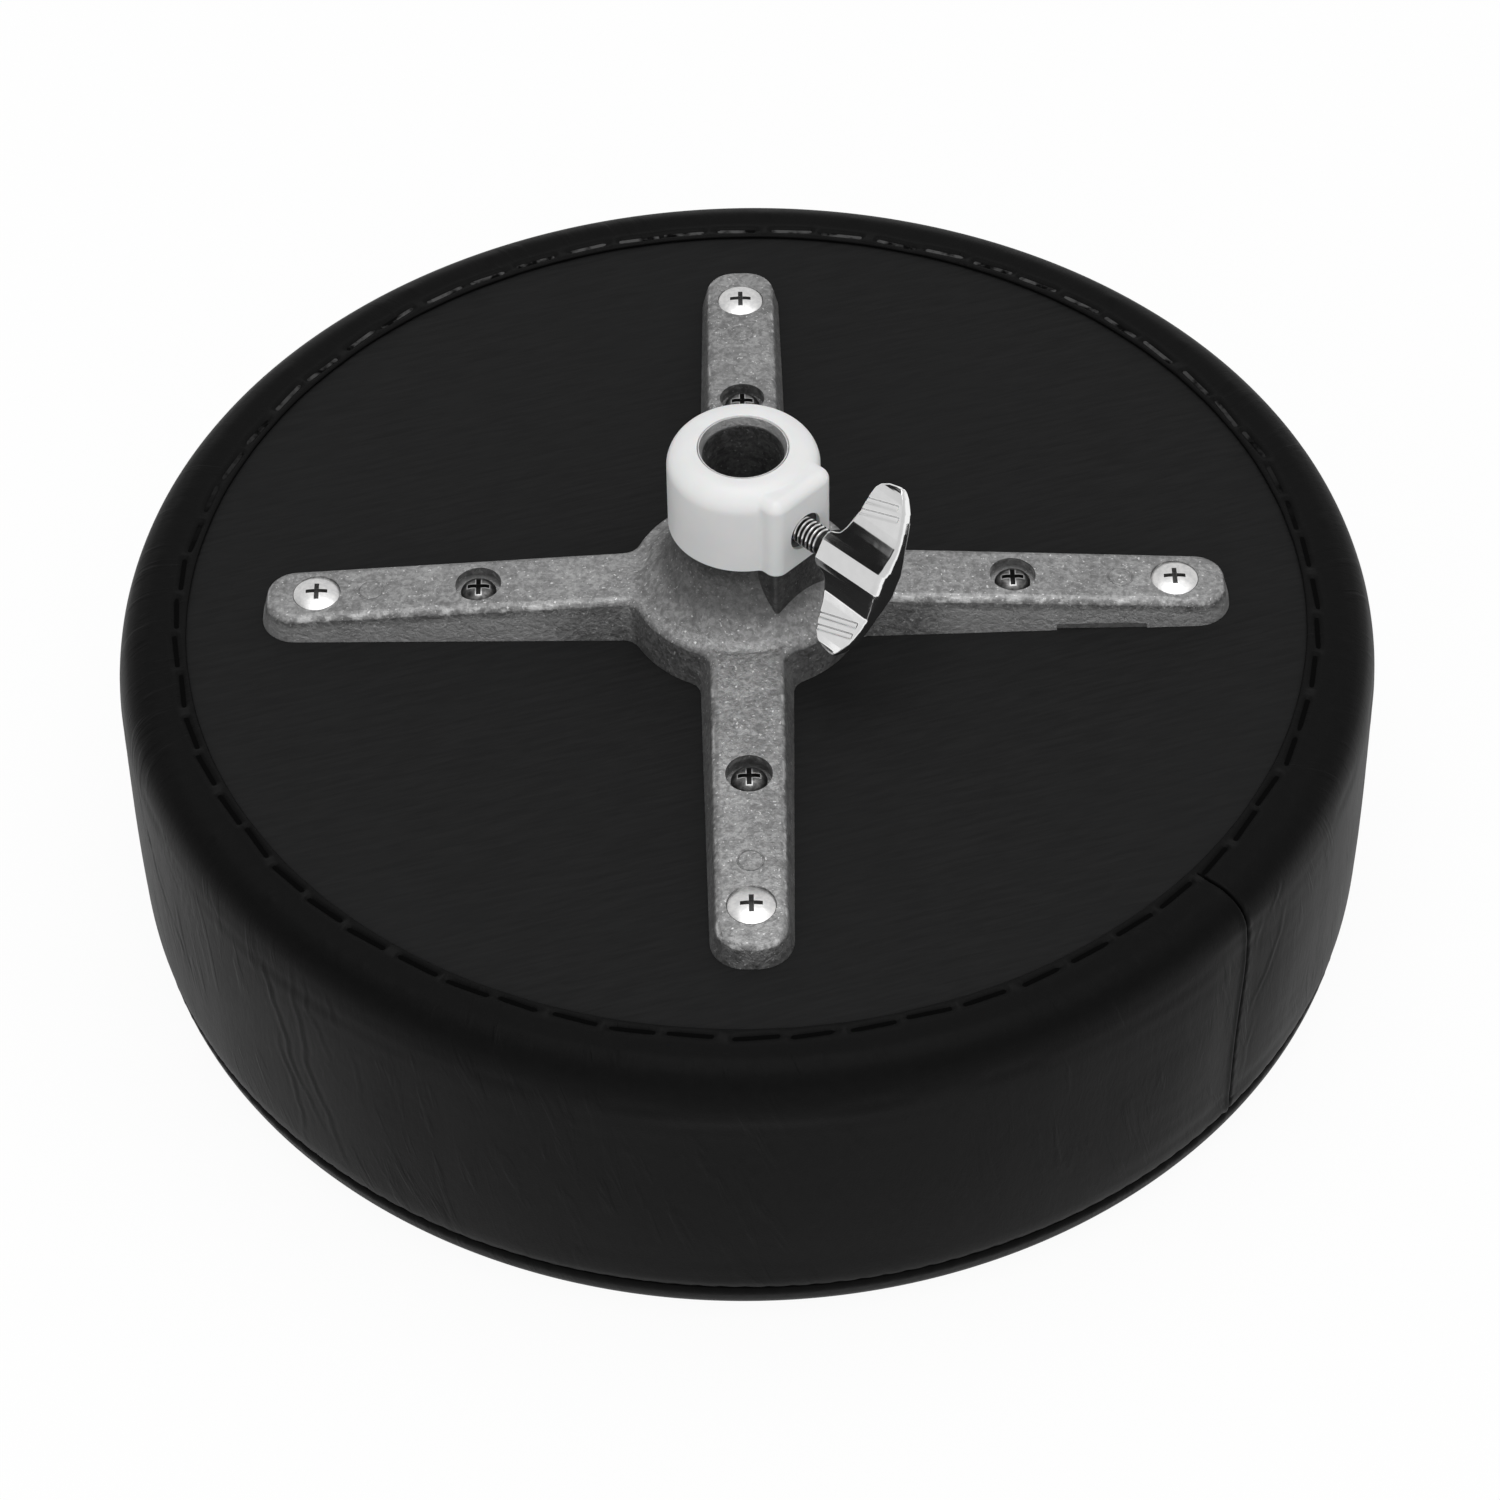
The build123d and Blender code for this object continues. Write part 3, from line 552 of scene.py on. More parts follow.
# Creases: azimuth and height of the upper end, then of the lower end, sideways waver, rise and half
# width. Degrees and millimetres.
CREASES = (
    (-138.8, 89, -131.8, 30, 1.3, 0.50, 0.9), (-135.0, 93, -129.6, 20, 1.5, 0.48, 0.9),
    (-133.0, 91, -130.0, 64, 1.0, 0.36, 0.8), (-139.6, 92, -136.4, 72, 0.8, 0.32, 0.9),
    (-136.3, 61, -134.0, 18, 1.2, 0.42, 0.9), (-127.3, 74, -126.2, 52, 0.6, 0.22, 0.8),
    (-130.2, 90, -128.4, 79, 0.5, 0.28, 0.8), (-165.0, 88, -151.0, 41, 1.6, 0.42, 1.2),
    (-158.5, 86, -144.0, 62, 1.2, 0.36, 1.1), (-156.0, 90, -149.5, 78, 0.8, 0.32, 1.0),
    (-167.0, 84, -155.0, 62, 1.0, 0.32, 1.1), (-35.0, 84, -40.2, 50, 0.8, 0.42, 0.9),
    (-36.2, 93, -37.8, 85, 0.5, 0.36, 1.0), (-39.3, 87, -40.2, 74, 0.4, 0.30, 0.8),
    (-39.6, 46, -40.6, 26, 0.5, 0.28, 0.8), (140.0, 84, 146.0, 38, 1.2, 0.35, 1.1),
    (63.0, 88, 60.0, 50, 1.0, 0.32, 1.0), (12.0, 80, 17.0, 44, 1.2, 0.30, 1.1),
)
CREASE_SHARPNESS = 1.25
CREASE_RISE = 0.42
CREASED_STRETCHES = ((-147.0, 23.0), (-34.0, 7.5))     # azimuth and half width, in degrees

# The cloth simulation of the stuffing: millimetres, units of pressure and frames.
FORM_RADIUS = 173.0
FORM_STEP = 5.0
PRESSURE = 4.0
FRAMES = 20
LARGEST_MOVE = 6.0
SEAM_HALF_WIDTH = 2.6


def bell(distance, width):
    """1 at a distance of 0, falling off as the exponential of minus the squared distance over the
    squared width."""
    return np.exp(-(distance / width)**2)


def centred(degrees):
    """An angle brought to between -180 and 180 degrees."""
    return (degrees + 180.0) % 360.0 - 180.0


def stitches(distance):
    """A wave from 0 to 1, with a crest once a stitch."""
    return 0.5 + 0.5 * np.cos(tau * distance / STITCH)


def seam_azimuth(height):
    """The side seam wanders a little: a slow wave down the height of the band."""
    return SIDE_SEAM + 0.45 * np.sin((height - 62.0) / 16.0) * np.clip((98.0 - height) / 20.0, 0, 1)


def column_spacing(x):
    """Columns lie close at the side seam and across the creases, wide elsewhere. x is the distance
    round the seat from the seam."""
    from_seam = np.minimum(x, GIRTH - x)
    azimuth = centred(SIDE_SEAM + 360.0 * x / GIRTH)
    creased = np.any([np.abs(azimuth - middle) < half for middle, half in CREASED_STRETCHES], axis=0)
    close, wide, at_seam = 0.75, 2.1, 0.14
    return np.minimum(np.where(creased, close, wide), at_seam + 0.22 * from_seam)


def staple_index(azimuth):
    """Number of the staple nearest to an azimuth in radians."""
    return np.round(azimuth / tau * STAPLES).astype(int) % STAPLES


def staple_places():
    """Centre and direction of each staple's crown: the mean of the node's highest points near it,
    and the long axis of their spread, half the angle whose tangent is twice the mixed moment over
    the difference of the two plain ones."""
    co = vertex_places(nodes["staples"].data)
    crown = co[co[:, 2] > co[:, 2].max() - 0.1, :2]
    index = staple_index(np.arctan2(crown[:, 1], crown[:, 0]))
    many = np.bincount(index, minlength=STAPLES)
    centre = np.stack([np.bincount(index, crown[:, k], STAPLES) / many for k in (0, 1)], 1)
    x, y = (crown - centre[index]).T
    xx, yy, xy = (np.bincount(index, moment, STAPLES) for moment in (x * x, y * y, x * y))
    return centre, 0.5 * np.arctan2(2 * xy, xx - yy)


def staple_relief(azimuth, radius):
    """Height of the folded edge round its staples: a groove under each crown, a low roll along both
    sides of it and a plump pillow in each gap between crowns."""
    centre, turn = staple_places()
    index = staple_index(azimuth)
    dx = radius * np.cos(azimuth) - centre[index, 0]
    dy = radius * np.sin(azimuth) - centre[index, 1]
    along = dx * np.cos(turn[index]) + dy * np.sin(turn[index])
    across = -dx * np.sin(turn[index]) + dy * np.cos(turn[index])
    half_crown, fading = 6.6, 0.22
    under = 1 / (1 + np.exp((np.abs(along) - half_crown) / fading))
    groove = under * bell(across, 0.95)
    rolls = under * bell(np.abs(across) - 1.9, 0.8)
    pillow = (1 - under) * bell(across, 1.9)
    groove_depth, roll_rise, pillow_rise = 0.62, 0.16, 0.42
    return roll_rise * rolls + pillow_rise * pillow - groove_depth * groove


def crease_relief(azimuth, height):
    """Each crease is a thin ridge with a shallow trough on each side, along a line from its upper
    to its lower end that wavers as a sum of three sines, dying out at both ends."""
    relief = np.zeros_like(azimuth)
    degrees = np.degrees(azimuth)
    for k, (a0, z0, a1, z1, waver, rise, width) in enumerate(CREASES):
        t = (z0 - height) / (z0 - z1)
        inside = np.clip(t, 0, 1)
        turn = centred(degrees - (a0 + (a1 - a0) * inside))
        sway = np.sin(7.1 * inside + k) + 0.45 * np.sin(17.0 * inside + 2 * k)
        sway += 0.2 * np.sin(41.0 * inside + 3 * k)
        off = (np.radians(turn) * SIDE_RADIUS - waver * sway) * CREASE_SHARPNESS
        fade = np.sin(pi * inside)**0.6 * (t > 0) * (t < 1)
        troughs = 0.7 * bell(off - 2.1 * width, 1.4 * width) + 0.3 * bell(off + 2.1 * width, 1.5 * width)
        relief += CREASE_RISE * fade * rise * (bell(off, width) - troughs)
    return relief


def evaluated(item):
    """An object as its modifiers leave it."""
    return item.evaluated_get(bpy.context.evaluated_depsgraph_get())


def swell_of_padding():
    """How the stuffed form swells between its seams, from a cloth simulation.

    A closed form with a straight side is inflated with its board, its sitting face and its two
    seams held. Returns a function of azimuth and height that gives the swelling, scaled so that its
    mean at half height is 1.
    """
    outline = ((2.0, 0.0), (160.0, 0.0), (167.0, 1.2), (171.5, 6.0), (FORM_RADIUS, SEAM_HEIGHT),
               (FORM_RADIUS, 52.0), (FORM_RADIUS, 88.0), (171.0, 93.5), (165.0, 96.8), (2.0, 97.2))
    rows, _ = smooth_path(outline, evenly(FORM_STEP))
    turn = np.linspace(0, tau, 220, endpoint=False)
    form = grid_mesh("stuffing_form", swept_ring(rows, 0 * rows, turn, 0.0), ends=("first", "last"))
    pad = bpy.data.objects.new("stuffing_form", form)
    scene.collection.objects.link(pad)
    remesh = pad.modifiers.new("even", "REMESH")
    remesh.mode = "VOXEL"
    remesh.voxel_size = FORM_STEP * MM
    bpy.context.view_layer.update()
    even = bpy.data.meshes.new_from_object(evaluated(pad))
    bpy.data.objects.remove(pad)
    pad = bpy.data.objects.new("stuffing", even)
    scene.collection.objects.link(pad)

    start = vertex_places(even)
    radius = np.hypot(start[:, 0], start[:, 1])
    azimuth = np.degrees(np.arctan2(start[:, 1], start[:, 0]))
    held = (start[:, 2] > 93.0) | (start[:, 2] < 1.0) | (radius < 160.0)
    held |= np.abs(start[:, 2] - SEAM_HEIGHT) < SEAM_HALF_WIDTH
    held |= np.radians(np.abs(azimuth - SIDE_SEAM)) * FORM_RADIUS < SEAM_HALF_WIDTH
    pad.vertex_groups.new(name="seams").add(np.nonzero(held)[0].tolist(), 1.0, "REPLACE")
    cloth = pad.modifiers.new("skin", "CLOTH")
    cloth.settings.vertex_group_mass = "seams"
    cloth.settings.use_pressure = True
    cloth.settings.uniform_pressure_force = PRESSURE
    cloth.settings.effector_weights.gravity = 0.0
    cloth.point_cache.frame_start = 1
    cloth.point_cache.frame_end = FRAMES
    for step in range(1, FRAMES + 1):
        scene.frame_set(step)
    move = vertex_places(evaluated(pad).to_mesh()) - start
    size = np.linalg.norm(move, axis=1, keepdims=True)
    move *= np.minimum(1.0, LARGEST_MOVE / np.maximum(size, 1e-9))
    side = np.hypot(*(start + move)[:, :2].T) - radius
    middle = side[(radius > 168.0) & (np.abs(start[:, 2] - 52.0) < 6.0)].mean()
    faces = np.array([p.vertices[:] for p in even.polygons if len(p.vertices) == 4])
    face_rise = side[faces].mean(1) / middle
    tree = BVHTree.FromPolygons((start * MM).tolist(), faces.tolist())
    scene.frame_set(1)
    bpy.data.objects.remove(pad)

    def swell(azimuth, height):
        """Swelling where a level ray from the inside meets the form, as the mean of that face."""
        found = np.zeros(azimuth.size)
        for k, (a, z) in enumerate(zip(azimuth.flat, height.flat)):
            ray = Vector((cos(a), sin(a), 0))
            face = tree.ray_cast(ray * 0.1 + Vector((0, 0, z * MM)), ray)[2]
            found[k] = 0.0 if face is None else face_rise[face]
        return found.reshape(azimuth.shape)
    return swell


def coarse_field(function, azimuth, height):
    """A smooth function of azimuth and height, worked out on a coarse grid, averaged over three
    neighbouring azimuths and interpolated in both directions."""
    columns, rows, low, high = 180, 29, 10.0, 96.0
    table = function(*np.meshgrid(np.linspace(-pi, pi, columns + 1), np.linspace(low, high, rows + 1))).T
    table = (table + np.roll(table, 1, 0) + np.roll(table, -1, 0)) / 3
    a = (azimuth + pi) % tau / tau * columns
    z = np.clip((height - low) / (high - low) * rows, 0, rows - 0.001)
    ia, iz = a.astype(int) % columns, z.astype(int)
    ta, tz = a - a.astype(int), z - iz
    return ((table[ia, iz] * (1 - ta) + table[ia + 1, iz] * ta) * (1 - tz)
            + (table[ia, iz + 1] * (1 - ta) + table[ia + 1, iz + 1] * ta) * tz)


def ring_normals(profile):
    """Unit normals of a profile of (radius, height), each the profile's direction turned a quarter
    to its left: outwards where it runs clockwise, seen with radius to the right."""
    step = np.gradient(profile, axis=0)
    normal = np.stack([-step[:, 1], step[:, 0]], 1)
    return normal / np.linalg.norm(normal, axis=1, keepdims=True)


def swept_ring(profile, normals, azimuth, relief):
    """Points of a profile carried round the axis and moved by relief along its normals."""
    radius = profile[:, :1] + normals[:, :1] * relief
    height = profile[:, 1:] + normals[:, 1:] * relief
    return np.stack([radius * np.cos(azimuth), radius * np.sin(azimuth), height + 0 * azimuth], 2)


def band_relief(swell, azimuth, turn, height, radius):
    """Height of the band's skin over its profile, and the part of it that the staples make.

    azimuth is counted from the +X axis and turn from the side seam. The relief adds the uneven
    swelling of the padding, the creases, the marks of the staples, a lumpy ridge over the board's
    edge, the side seam and the puckers of the lower seam.
    """
    uneven = coarse_field(swell, azimuth, height)
    fade = np.clip((height - 10.0) / 12.0, 0, 1) * np.clip((96.0 - height) / 8.0, 0, 1)
    relief = 1.6 * (uneven - uneven.mean(1, keepdims=True)) * fade
    relief += crease_relief(azimuth, height)
    flange = (height > 97.0) & (radius < 164.0)
    marks = np.where(flange, staple_relief(azimuth, radius), 0.0)
    relief += marks
    # The board's edge shows through the cover as a low, lumpy ridge.
    board_edge, ridge_rise, ridge_width = 165.6, 0.16, 1.6
    lumps = np.sin(azimuth * 61) * np.sin(azimuth * 23 + 1.3) + 0.6 * np.sin(azimuth * 149 + 0.4)
    ridge = ridge_rise * np.clip(lumps, 0, None)**2 * bell(radius - board_edge, ridge_width)
    relief += ridge * (height > 95.0)
    # Side seam: a narrow valley between two turned edges, the one at lower azimuth prouder, with a
    # pull at each stitch below the flange.
    seam_start, valley_depth, valley_width = 158.0, 1.5, 0.42
    from_seam = np.where(turn < pi, turn, turn - tau) * SEAT_RADIUS
    proud = np.where(from_seam < 0, 0.40, 0.12)
    edges = proud * bell(np.abs(from_seam) - 1.0, 0.9)
    relief += (edges - valley_depth * bell(from_seam, valley_width)) * (radius > seam_start)
    pull = stitches(height + 3.0 * (radius < 170))
    relief -= 0.28 * pull**6 * bell(from_seam - 0.9, 0.8) * (height < 96.0)
    # Lower seam: the band's lip puckers at each stitch, and wanders slowly.
    lip_height, lip_width = 13.4, 1.6
    pucker = stitches(turn * SEAT_RADIUS)
    wander = 0.5 + 0.5 * np.sin(3 * turn + 0.7) * np.sin(7 * turn)
    relief -= (0.20 * pucker**3 + 0.25 * wander) * bell(height - lip_height, lip_width)
    return relief, marks


def make_side_band(swell):
    """The band: a closed profile carried round the axis. Its skin, from the cut edge on the board to
    the lower seam, is moved out by the band's relief, and its lining by part of the swelling."""

    def row_spacing(s):
        """Rows lie close on the folded edge and near the lower seam."""
        return np.where(s < 8.5, 0.42, np.where(s < 27.0, 0.85, np.where(s < 94.0, 1.35, 0.3)))

    outer, run = smooth_path(BAND_PROFILE, row_spacing)
    stations = spaced(GIRTH, column_spacing)[:-1]
    turn = stations / SEAT_RADIUS
    azimuth = (np.radians(seam_azimuth(outer[:, 1:])) + turn + pi) % tau - pi
    radius, height = (outer[:, k:k + 1] + 0 * azimuth for k in (0, 1))
    relief, marks = band_relief(swell, azimuth, turn, height, radius)
    skin = swept_ring(outer, ring_normals(outer), azimuth, relief)

    lining, _ = smooth_path(BAND_LINING, evenly(LINING_STEP))
    outward = -ring_normals(lining)[1:-1]
    lining = lining[1:-1]
    azimuth = np.radians(seam_azimuth(lining[:, 1:])) + turn
    swelling = coarse_field(swell, (azimuth + pi) % tau - pi, lining[:, 1:] + 0 * azimuth)
    relief = np.clip(0.9 * (swelling - 1.0), -0.4, 0.4) * bell(lining[:, 1:] - 50.0, 30.0)
    back = swept_ring(lining, outward, azimuth, relief)

    rows = np.concatenate([run, run[-1] + np.arange(1, len(back) + 2) * LINING_STEP]) * MM
    columns = np.append(stations, GIRTH) * MM
    band = grid_mesh("side_band", np.concatenate([skin, back]), columns, rows, wrap_rows=True)
    # The staples' relief is stored on the band, for the vinyl's painted shade in the grooves and painted
    # highlight on the rolls.
    stored = band.attributes.new("marks", "FLOAT", "POINT")
    stored.data.foreach_set("value", np.concatenate([marks.ravel(), np.zeros(back[..., 0].size)]))
    add_piece(band, VINYL, "seat", ("cover_side_band",))


def make_sitting_panel():
    """The panel: a profile carried round the axis, its lining from the middle to the lower seam and
    its skin back under it. The skin bulges at each stitch, by a bell of the height beside the seam."""

    def row_spacing(s):
        """Rows lie close at the seam."""
        return np.where(s < 4.0, 0.35, np.where(s < 20.0, 0.9, 5.0))

    edge, run = smooth_path(PANEL_PROFILE, row_spacing)
    spots = np.linspace(0, tau, 720, endpoint=False)
    shift = STITCH / pi            # out of step with the band's puckers
    bulge = 0.25 * stitches(spots * SEAT_RADIUS + shift)**3 + 0.2 * (0.5 + 0.5 * np.sin(5 * spots + 1.0))
    skin = swept_ring(edge, ring_normals(edge), spots, bulge * bell(edge[:, 1:] - 10.6, 1.3))
    cover, _ = smooth_path(PANEL_LINING, evenly(LINING_STEP))
    lining = swept_ring(cover, 0 * cover, spots, 0.0)
    grid = np.concatenate([lining, skin[1:]])
    lined = np.arange(len(lining) + 1) * LINING_STEP
    rows = np.concatenate([lined[:-1], lined[-1] + run[1:]]) * MM
    columns = np.append(spots, tau) * SEAT_RADIUS * MM
    panel = grid_mesh("sitting_panel", grid, columns, rows, ends=("first", "last"))
    add_piece(panel, VINYL, "seat", ("cover_top_panel",))


SOFT_CUSHION = ((3.0, 1.7), (157.0, 1.7), (162.5, 2.0), (166.4, 3.6), (169.0, 6.2), (170.5, 9.6),
                (170.9, 13.0), (171.6, 18.0), (172.6, 30.0), (172.9, 40.6), (172.4, 41.0),
                (160.0, 41.1), (3.0, 41.1))
FIRM_CUSHION = ((3.0, 41.7), (160.0, 41.7), (172.6, 41.8), (173.1, 42.2), (173.2, 52.0),
                (172.9, 68.0), (172.4, 79.0), (171.5, 87.6), (170.2, 91.7), (168.0, 94.3),
                (166.6, 95.6), (165.7, 95.6), (165.5, 90.0), (165.4, 84.6), (164.6, 84.1),
                (150.0, 84.1), (3.0, 84.1))
FOAM_RADIUS = 170.0


def make_foam():
    """Two cushions of foam: discs with rounded edges that stay clear of the cover and the board."""
    turn = np.linspace(0, tau, 240, endpoint=False)
    for name, profile, finish, slot, node, fill in (
            ("soft_cushion", SOFT_CUSHION, SOFT_FOAM, "soft_foam", "foam_soft_layer", 0.9),
            ("firm_cushion", FIRM_CUSHION, FIRM_FOAM, "firm_foam", "foam_firm_layer", 1.0)):
        rows, run = smooth_path(profile, evenly(2.5))
        grid = swept_ring(rows, 0 * rows, turn, 0.0)
        columns = np.append(turn, tau) * FOAM_RADIUS * MM
        mesh = grid_mesh(name, grid, columns, run * MM, ends=("first", "last"))
        add_piece(mesh, finish, "seat", (node,))


# ---------------------------------------------------------------- Wing bolt

def on_bolt(lead, level, up):
    """Points from their distances out along the bolt's axis, level beside it and over it."""
    out, beside = (np.array([cos(a), sin(a), 0.0]) for a in (BOLT_AZIMUTH, BOLT_AZIMUTH + pi / 2))
    lead, level, up = (np.asarray(part)[..., None] for part in np.broadcast_arrays(lead, level, up))
    return lead * out + level * beside + up * np.array([0, 0, 1.0]) + np.array([0, 0, BOLT_HEIGHT])


THREAD_PITCH = 25.4 / 18
THREAD_ENDS = (14.4, 30.2)
STUD_RADIUS = 3.7
CREST_RADIUS = 3.97
RIDGE_FOOT = CREST_RADIUS - 0.75   # radius where a ridge of 0 stands
RIDGE_RISE = 0.85
# Distance from the seat's axis and radius: the blind hole for the shoe's stem, the chamfered tip,
# the threaded length, and the plain neck that ends inside the handle.
STUD_PROFILE = ((17.2, 0.02), (17.2, 1.6), (13.9, 1.62), (13.9, 2.9), (14.5, 3.55), (15.0, STUD_RADIUS),
                (29.4, STUD_RADIUS), (30.2, 3.5), (30.6, 3.3), (31.5, 3.3), (44.0, 3.3), (44.0, 0.02))


def make_thread():
    """Right-hand thread: the radius rises and falls once a pitch along the bolt as a clipped
    triangle, and the crest moves on by a pitch for each turn. It fades into the neck and the tip."""
    points = straight_path(STUD_PROFILE, 0.16)
    turn = np.linspace(0, tau, 48, endpoint=False)
    along, outline = points[:, :1], points[:, 1:]
    phase = (along / THREAD_PITCH - turn / tau) % 1.0
    ridge = np.clip(1.0 - np.abs(2.0 * phase - 1.0) * 1.25, -0.12, 0.88)
    first, last = THREAD_ENDS
    threaded = np.clip((along - first) / 0.8, 0, 1) * np.clip((last - along) / 1.0, 0, 1) * (outline > 3.0)
    radius = outline + threaded * (RIDGE_FOOT - STUD_RADIUS + RIDGE_RISE * ridge)
    grid = on_bolt(along, radius * np.cos(turn), radius * np.sin(turn))
    mesh = grid_mesh("bolt_thread", grid, ends=("first", "last"))
    add_piece(mesh, THREAD_STEEL, "wing_bolt", ("wing_bolt_stud",))


HANDLE_END = 53.4              # from the seat's axis to the flat of the handle's end
WING_TURN = radians(32)        # of the wings about the bolt, off the vertical
HALF_SPAN = 25.4
# Against the distance from the middle of the span: inset of the inner edge, inset of the end, depth
# of the end's dome, and half thickness at the inner edge and at the end.
INNER_EDGE = ((0, 22.0), (4.6, 22.0), (5.2, 21.4), (5.6, 20.0), (6.2, 18.8), (8.0, 18.0), (11.0, 17.3),
              (14.0, 16.4), (17.5, 15.9), (20.0, 15.4), (22.0, 14.8), (23.6, 13.6), (24.8, 11.4),
              (25.3, 9.0), (25.4, 7.6))
OUTER_EDGE = ((0, -1.3), (4.0, -1.4), (8.0, -0.9), (12.0, -0.2), (15.0, 0.5), (18.0, 1.4), (20.0, 2.2),
              (23.4, 4.4), (25.1, 6.0), (25.4, 6.6))
END_DEPTH = ((0, 2.4), (4.0, 2.3), (8.0, 1.5), (12.0, 1.1), (18.0, 0.9), (25.4, 0.5))
INNER_HALF = ((0, 4.7), (2.8, 4.7), (3.1, 4.5), (5.0, 3.3), (8.0, 2.0), (10.6, 1.15), (13.0, 1.0),
              (24.0, 1.1), (25.4, 0.7))
OUTER_HALF = ((0, 4.8), (2.8, 4.8), (3.1, 4.7), (5.0, 4.0), (8.0, 3.05), (10.8, 2.2), (13.0, 2.05),
              (18.0, 2.0), (22.0, 1.8), (24.5, 1.4), (25.4, 0.8))
# How far apart sections lie, against the distance from the middle of the span: close at the barrel's
# corners, over the grooves and at the tips.
SECTION_STEP = ((0, 0.4), (2.5, 0.3), (2.7, 0.08), (3.3, 0.08), (5, 0.18), (8.5, 0.3), (12.5, 0.3),
                (13, 0.12), (22.5, 0.12), (25.4, 0.07))
# Grooves on each face: place along the span and inset of the two ends.
GROOVES = ((17.8, 14.6, 20.6, 4.7), (14.1, 15.4, 17.9, 3.2), (-17.6, 15.5, -13.9, 2.3),
           (-21.0, 15.0, -17.3, 2.5))
GROOVE_DEPTH = 0.42
GROOVE_HALF_WIDTH = 0.7


def at(reach, table):
    """Values of a table of pairs at distances from the middle of the span, by straight lines."""
    return np.interp(reach, *np.array(table).T)


def make_handle():
    """Cast handle, drawn as closed sections laid side by side along the span of its wings.

    Each section runs up one face from the inner edge to the end, round the end, back down the other
    face and round the inner edge. The end is flat in the middle and turns over quickly at both
    rims: its depth falls off as the root of one less the fourth power of the way across. The faces
    carry a shallow trench along each groove line.
    """
    span = spaced(2 * HALF_SPAN, lambda s: at(np.abs(s - HALF_SPAN), SECTION_STEP))[:, None] - HALF_SPAN
    inner, outer, dome, thin, thick = (at(np.abs(span), table) for table in
                                       (INNER_EDGE, OUTER_EDGE, END_DEPTH, INNER_HALF, OUTER_HALF))
    dome = np.minimum(dome, 0.45 * (inner - outer))
    nose = np.minimum(0.9, 0.25 * (inner - outer))
    up = np.linspace(0, 1, 64)[None, :]
    rim, foot = outer + dome, inner - nose
    inset = foot + (rim - foot) * up
    half = thin + (thick - thin) * up**1.3
    for x0, in0, x1, in1 in GROOVES:
        off = np.abs((x1 - x0) * (inset - in0) - (in1 - in0) * (span - x0)) / np.hypot(x1 - x0, in1 - in0)
        fade = np.clip((inset - in1) / 0.5, 0, 1)
        half = half - GROOVE_DEPTH * fade / (1 + np.exp((off - GROOVE_HALF_WIDTH) / 0.07))
    arc = np.linspace(0, pi, 34)[None, 1:-1]
    end_inset, end_half = rim - dome * np.sqrt(1 - np.cos(arc)**4), half[:, -1:] * np.cos(arc)
    foot_inset, foot_half = foot + nose * np.sin(arc), -half[:, :1] * np.cos(arc)
    inset = np.hstack([inset, end_inset, inset[:, ::-1], foot_inset])
    half = np.hstack([half, end_half, -half[:, ::-1], foot_half])
    grid = on_bolt(HANDLE_END - inset, span * sin(WING_TURN) + half * cos(WING_TURN),
                   span * cos(WING_TURN) - half * sin(WING_TURN))
    mesh = grid_mesh("wing_handle_casting", grid, ends=("first", "last"))
    add_piece(mesh, CHROME, "wing_bolt", ("wing_handle",))


make_side_band(swell_of_padding())
make_sitting_panel()
make_foam()
make_thread()
make_handle()


# ---------------------------------------------------------------- Camera, floor and light

def aim_camera():
    """A long lens 45 degrees above the board, turned a degree about its own axis."""
    rise = radians(44.82)
    distance = 1.477
    target = Vector((0, 0, 0.0972))
    eye = target + distance * Vector((0, -cos(rise), sin(rise)))
    ahead = (target - eye).normalized()
    right = ahead.cross(Vector((0, 0, 1))).normalized()
    up = right.cross(ahead)
    roll = radians(-1.05)
    right, up = right * cos(roll) + up * sin(roll), up * cos(roll) - right * sin(roll)
    camera = bpy.data.objects.new("camera", bpy.data.cameras.new("camera"))
    scene.collection.objects.link(camera)
    camera.matrix_world = Matrix.Translation(eye) @ Matrix((right, up, -ahead)).transposed().to_4x4()
    camera.data.sensor_width = 36.0
    camera.data.lens = 127.2
    camera.data.shift_x = 0.0027
    camera.data.shift_y = -0.0962
    camera.data.clip_start = 0.05
    scene.camera = camera


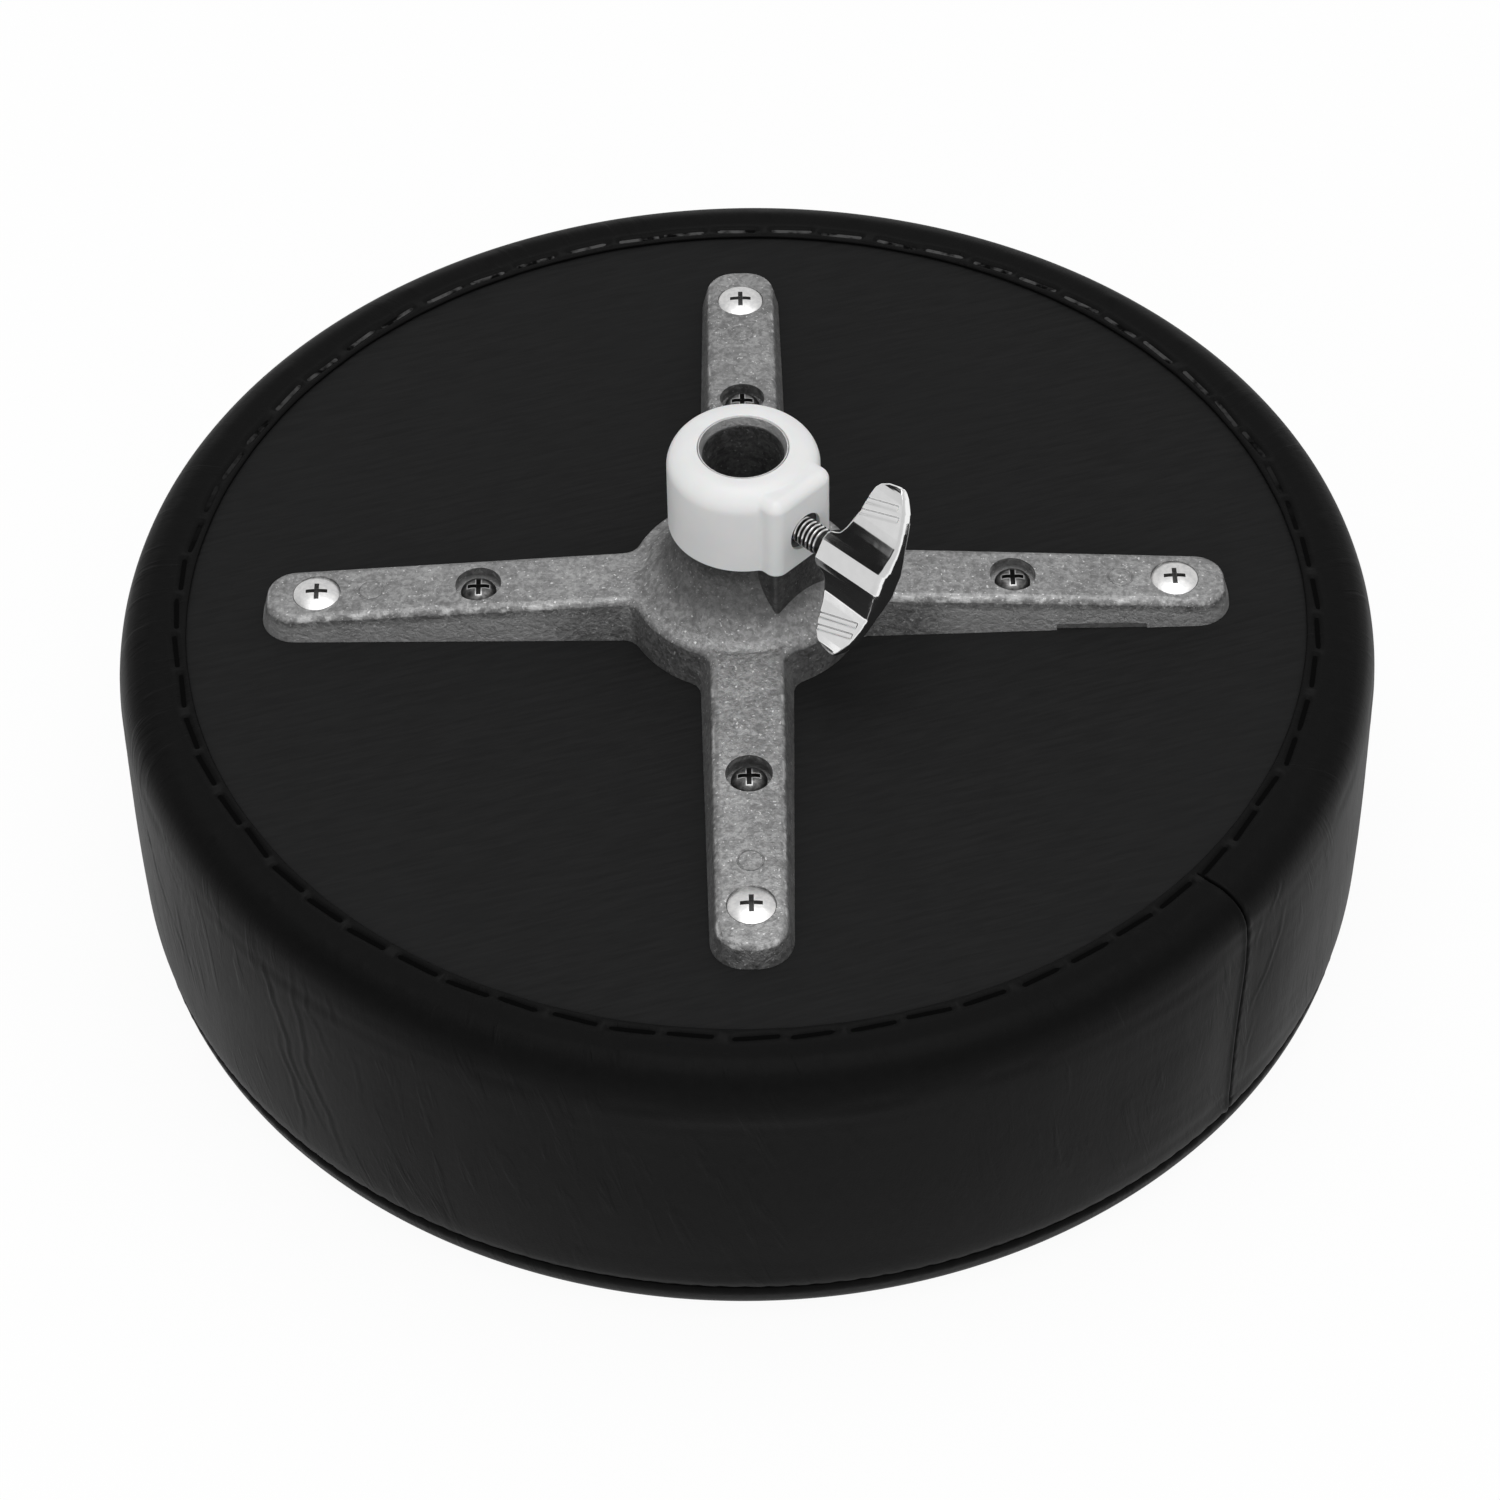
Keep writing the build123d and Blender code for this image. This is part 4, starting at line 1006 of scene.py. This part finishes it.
def hang_surroundings():
    """Pale surroundings, a little dimmer above the horizon and brighter overhead, with a dark card
    hung high on the left. The camera sees them white."""
    world = bpy.data.worlds.new("studio")
    scene.world = world
    world.use_nodes = True
    sky = Shading(world.node_tree)
    direction = sky.add("ShaderNodeTexCoord", output="Generated")
    card_place = Vector((-0.66, 0.03, 0.75)).normalized()
    toward = sky.add("ShaderNodeVectorMath", {0: direction, 1: card_place}, output="Value",
                     operation="DOT_PRODUCT")
    card_rim, card_core = radians(21), radians(13)
    card = toward.between(cos(card_rim), cos(card_core))
    height = sky.parts(direction)[2]
    fall = height.between(-0.05, 0.30, "LINEAR")
    crown = height.between(0.75, 0.97, "LINEAR")
    strength = (1.0 - 0.20 * fall + 0.6 * crown) * (1.0 - 0.98 * card)
    plain = sky.add("ShaderNodeBackground", {"Strength": strength})
    white = sky.add("ShaderNodeBackground", {"Color": (1, 1, 1, 1), "Strength": 1.0})
    sky.add("ShaderNodeOutputWorld", {"Surface": sky.mix(sky.rays("Camera"), plain, white)})


def hang_lamps():
    """A broad lamp overhead, and one in front that shines but isn't mirrored."""
    for name, place, size, power, mirrored in (
            ("overhead", (0.1, 0.0, 1.6), 1.0, 5.4, True),
            ("front", (-0.35, -1.7, 0.95), 1.6, 9.0, False)):
        lamp = bpy.data.lights.new(name, "AREA")
        lamp.size = size
        lamp.energy = power
        shell = bpy.data.objects.new(name, lamp)
        shell.location = place
        shell.visible_glossy = mirrored
        aim = Vector((0, 0, 0.08)) - Vector(place)
        shell.rotation_euler = aim.to_track_quat("-Z", "Y").to_euler()
        scene.collection.objects.link(shell)


def lay_floor():
    """A wide pale floor just under the seat, which takes its shadow and looks nearly white."""
    reach, gap = 6.0, 0.0003
    corners = [(-reach, -reach, 0), (reach, -reach, 0), (reach, reach, 0), (-reach, reach, 0)]
    mesh = bpy.data.meshes.new("floor")
    mesh.from_pydata(corners, [], [(0, 1, 2, 3)])
    floor = bpy.data.objects.new("floor", mesh)
    scene.collection.objects.link(floor)
    floor.location.z = -gap
    material = bpy.data.materials.new("pale_floor")
    material.use_nodes = True
    f = Shading(material.node_tree)
    plain = f.add("ShaderNodeBsdfDiffuse", {"Color": (0.92, 0.92, 0.92, 1)})
    white = f.add("ShaderNodeEmission", {"Color": (1, 1, 1, 1), "Strength": 1.0})
    share = f.rays("Camera", "Glossy", "Transmission") * 0.94
    f.add("ShaderNodeOutputMaterial", {"Surface": f.mix(share, plain, white)})
    mesh.materials.append(material)


aim_camera()
hang_surroundings()
hang_lamps()
lay_floor()
scene.view_settings.view_transform = "Standard"
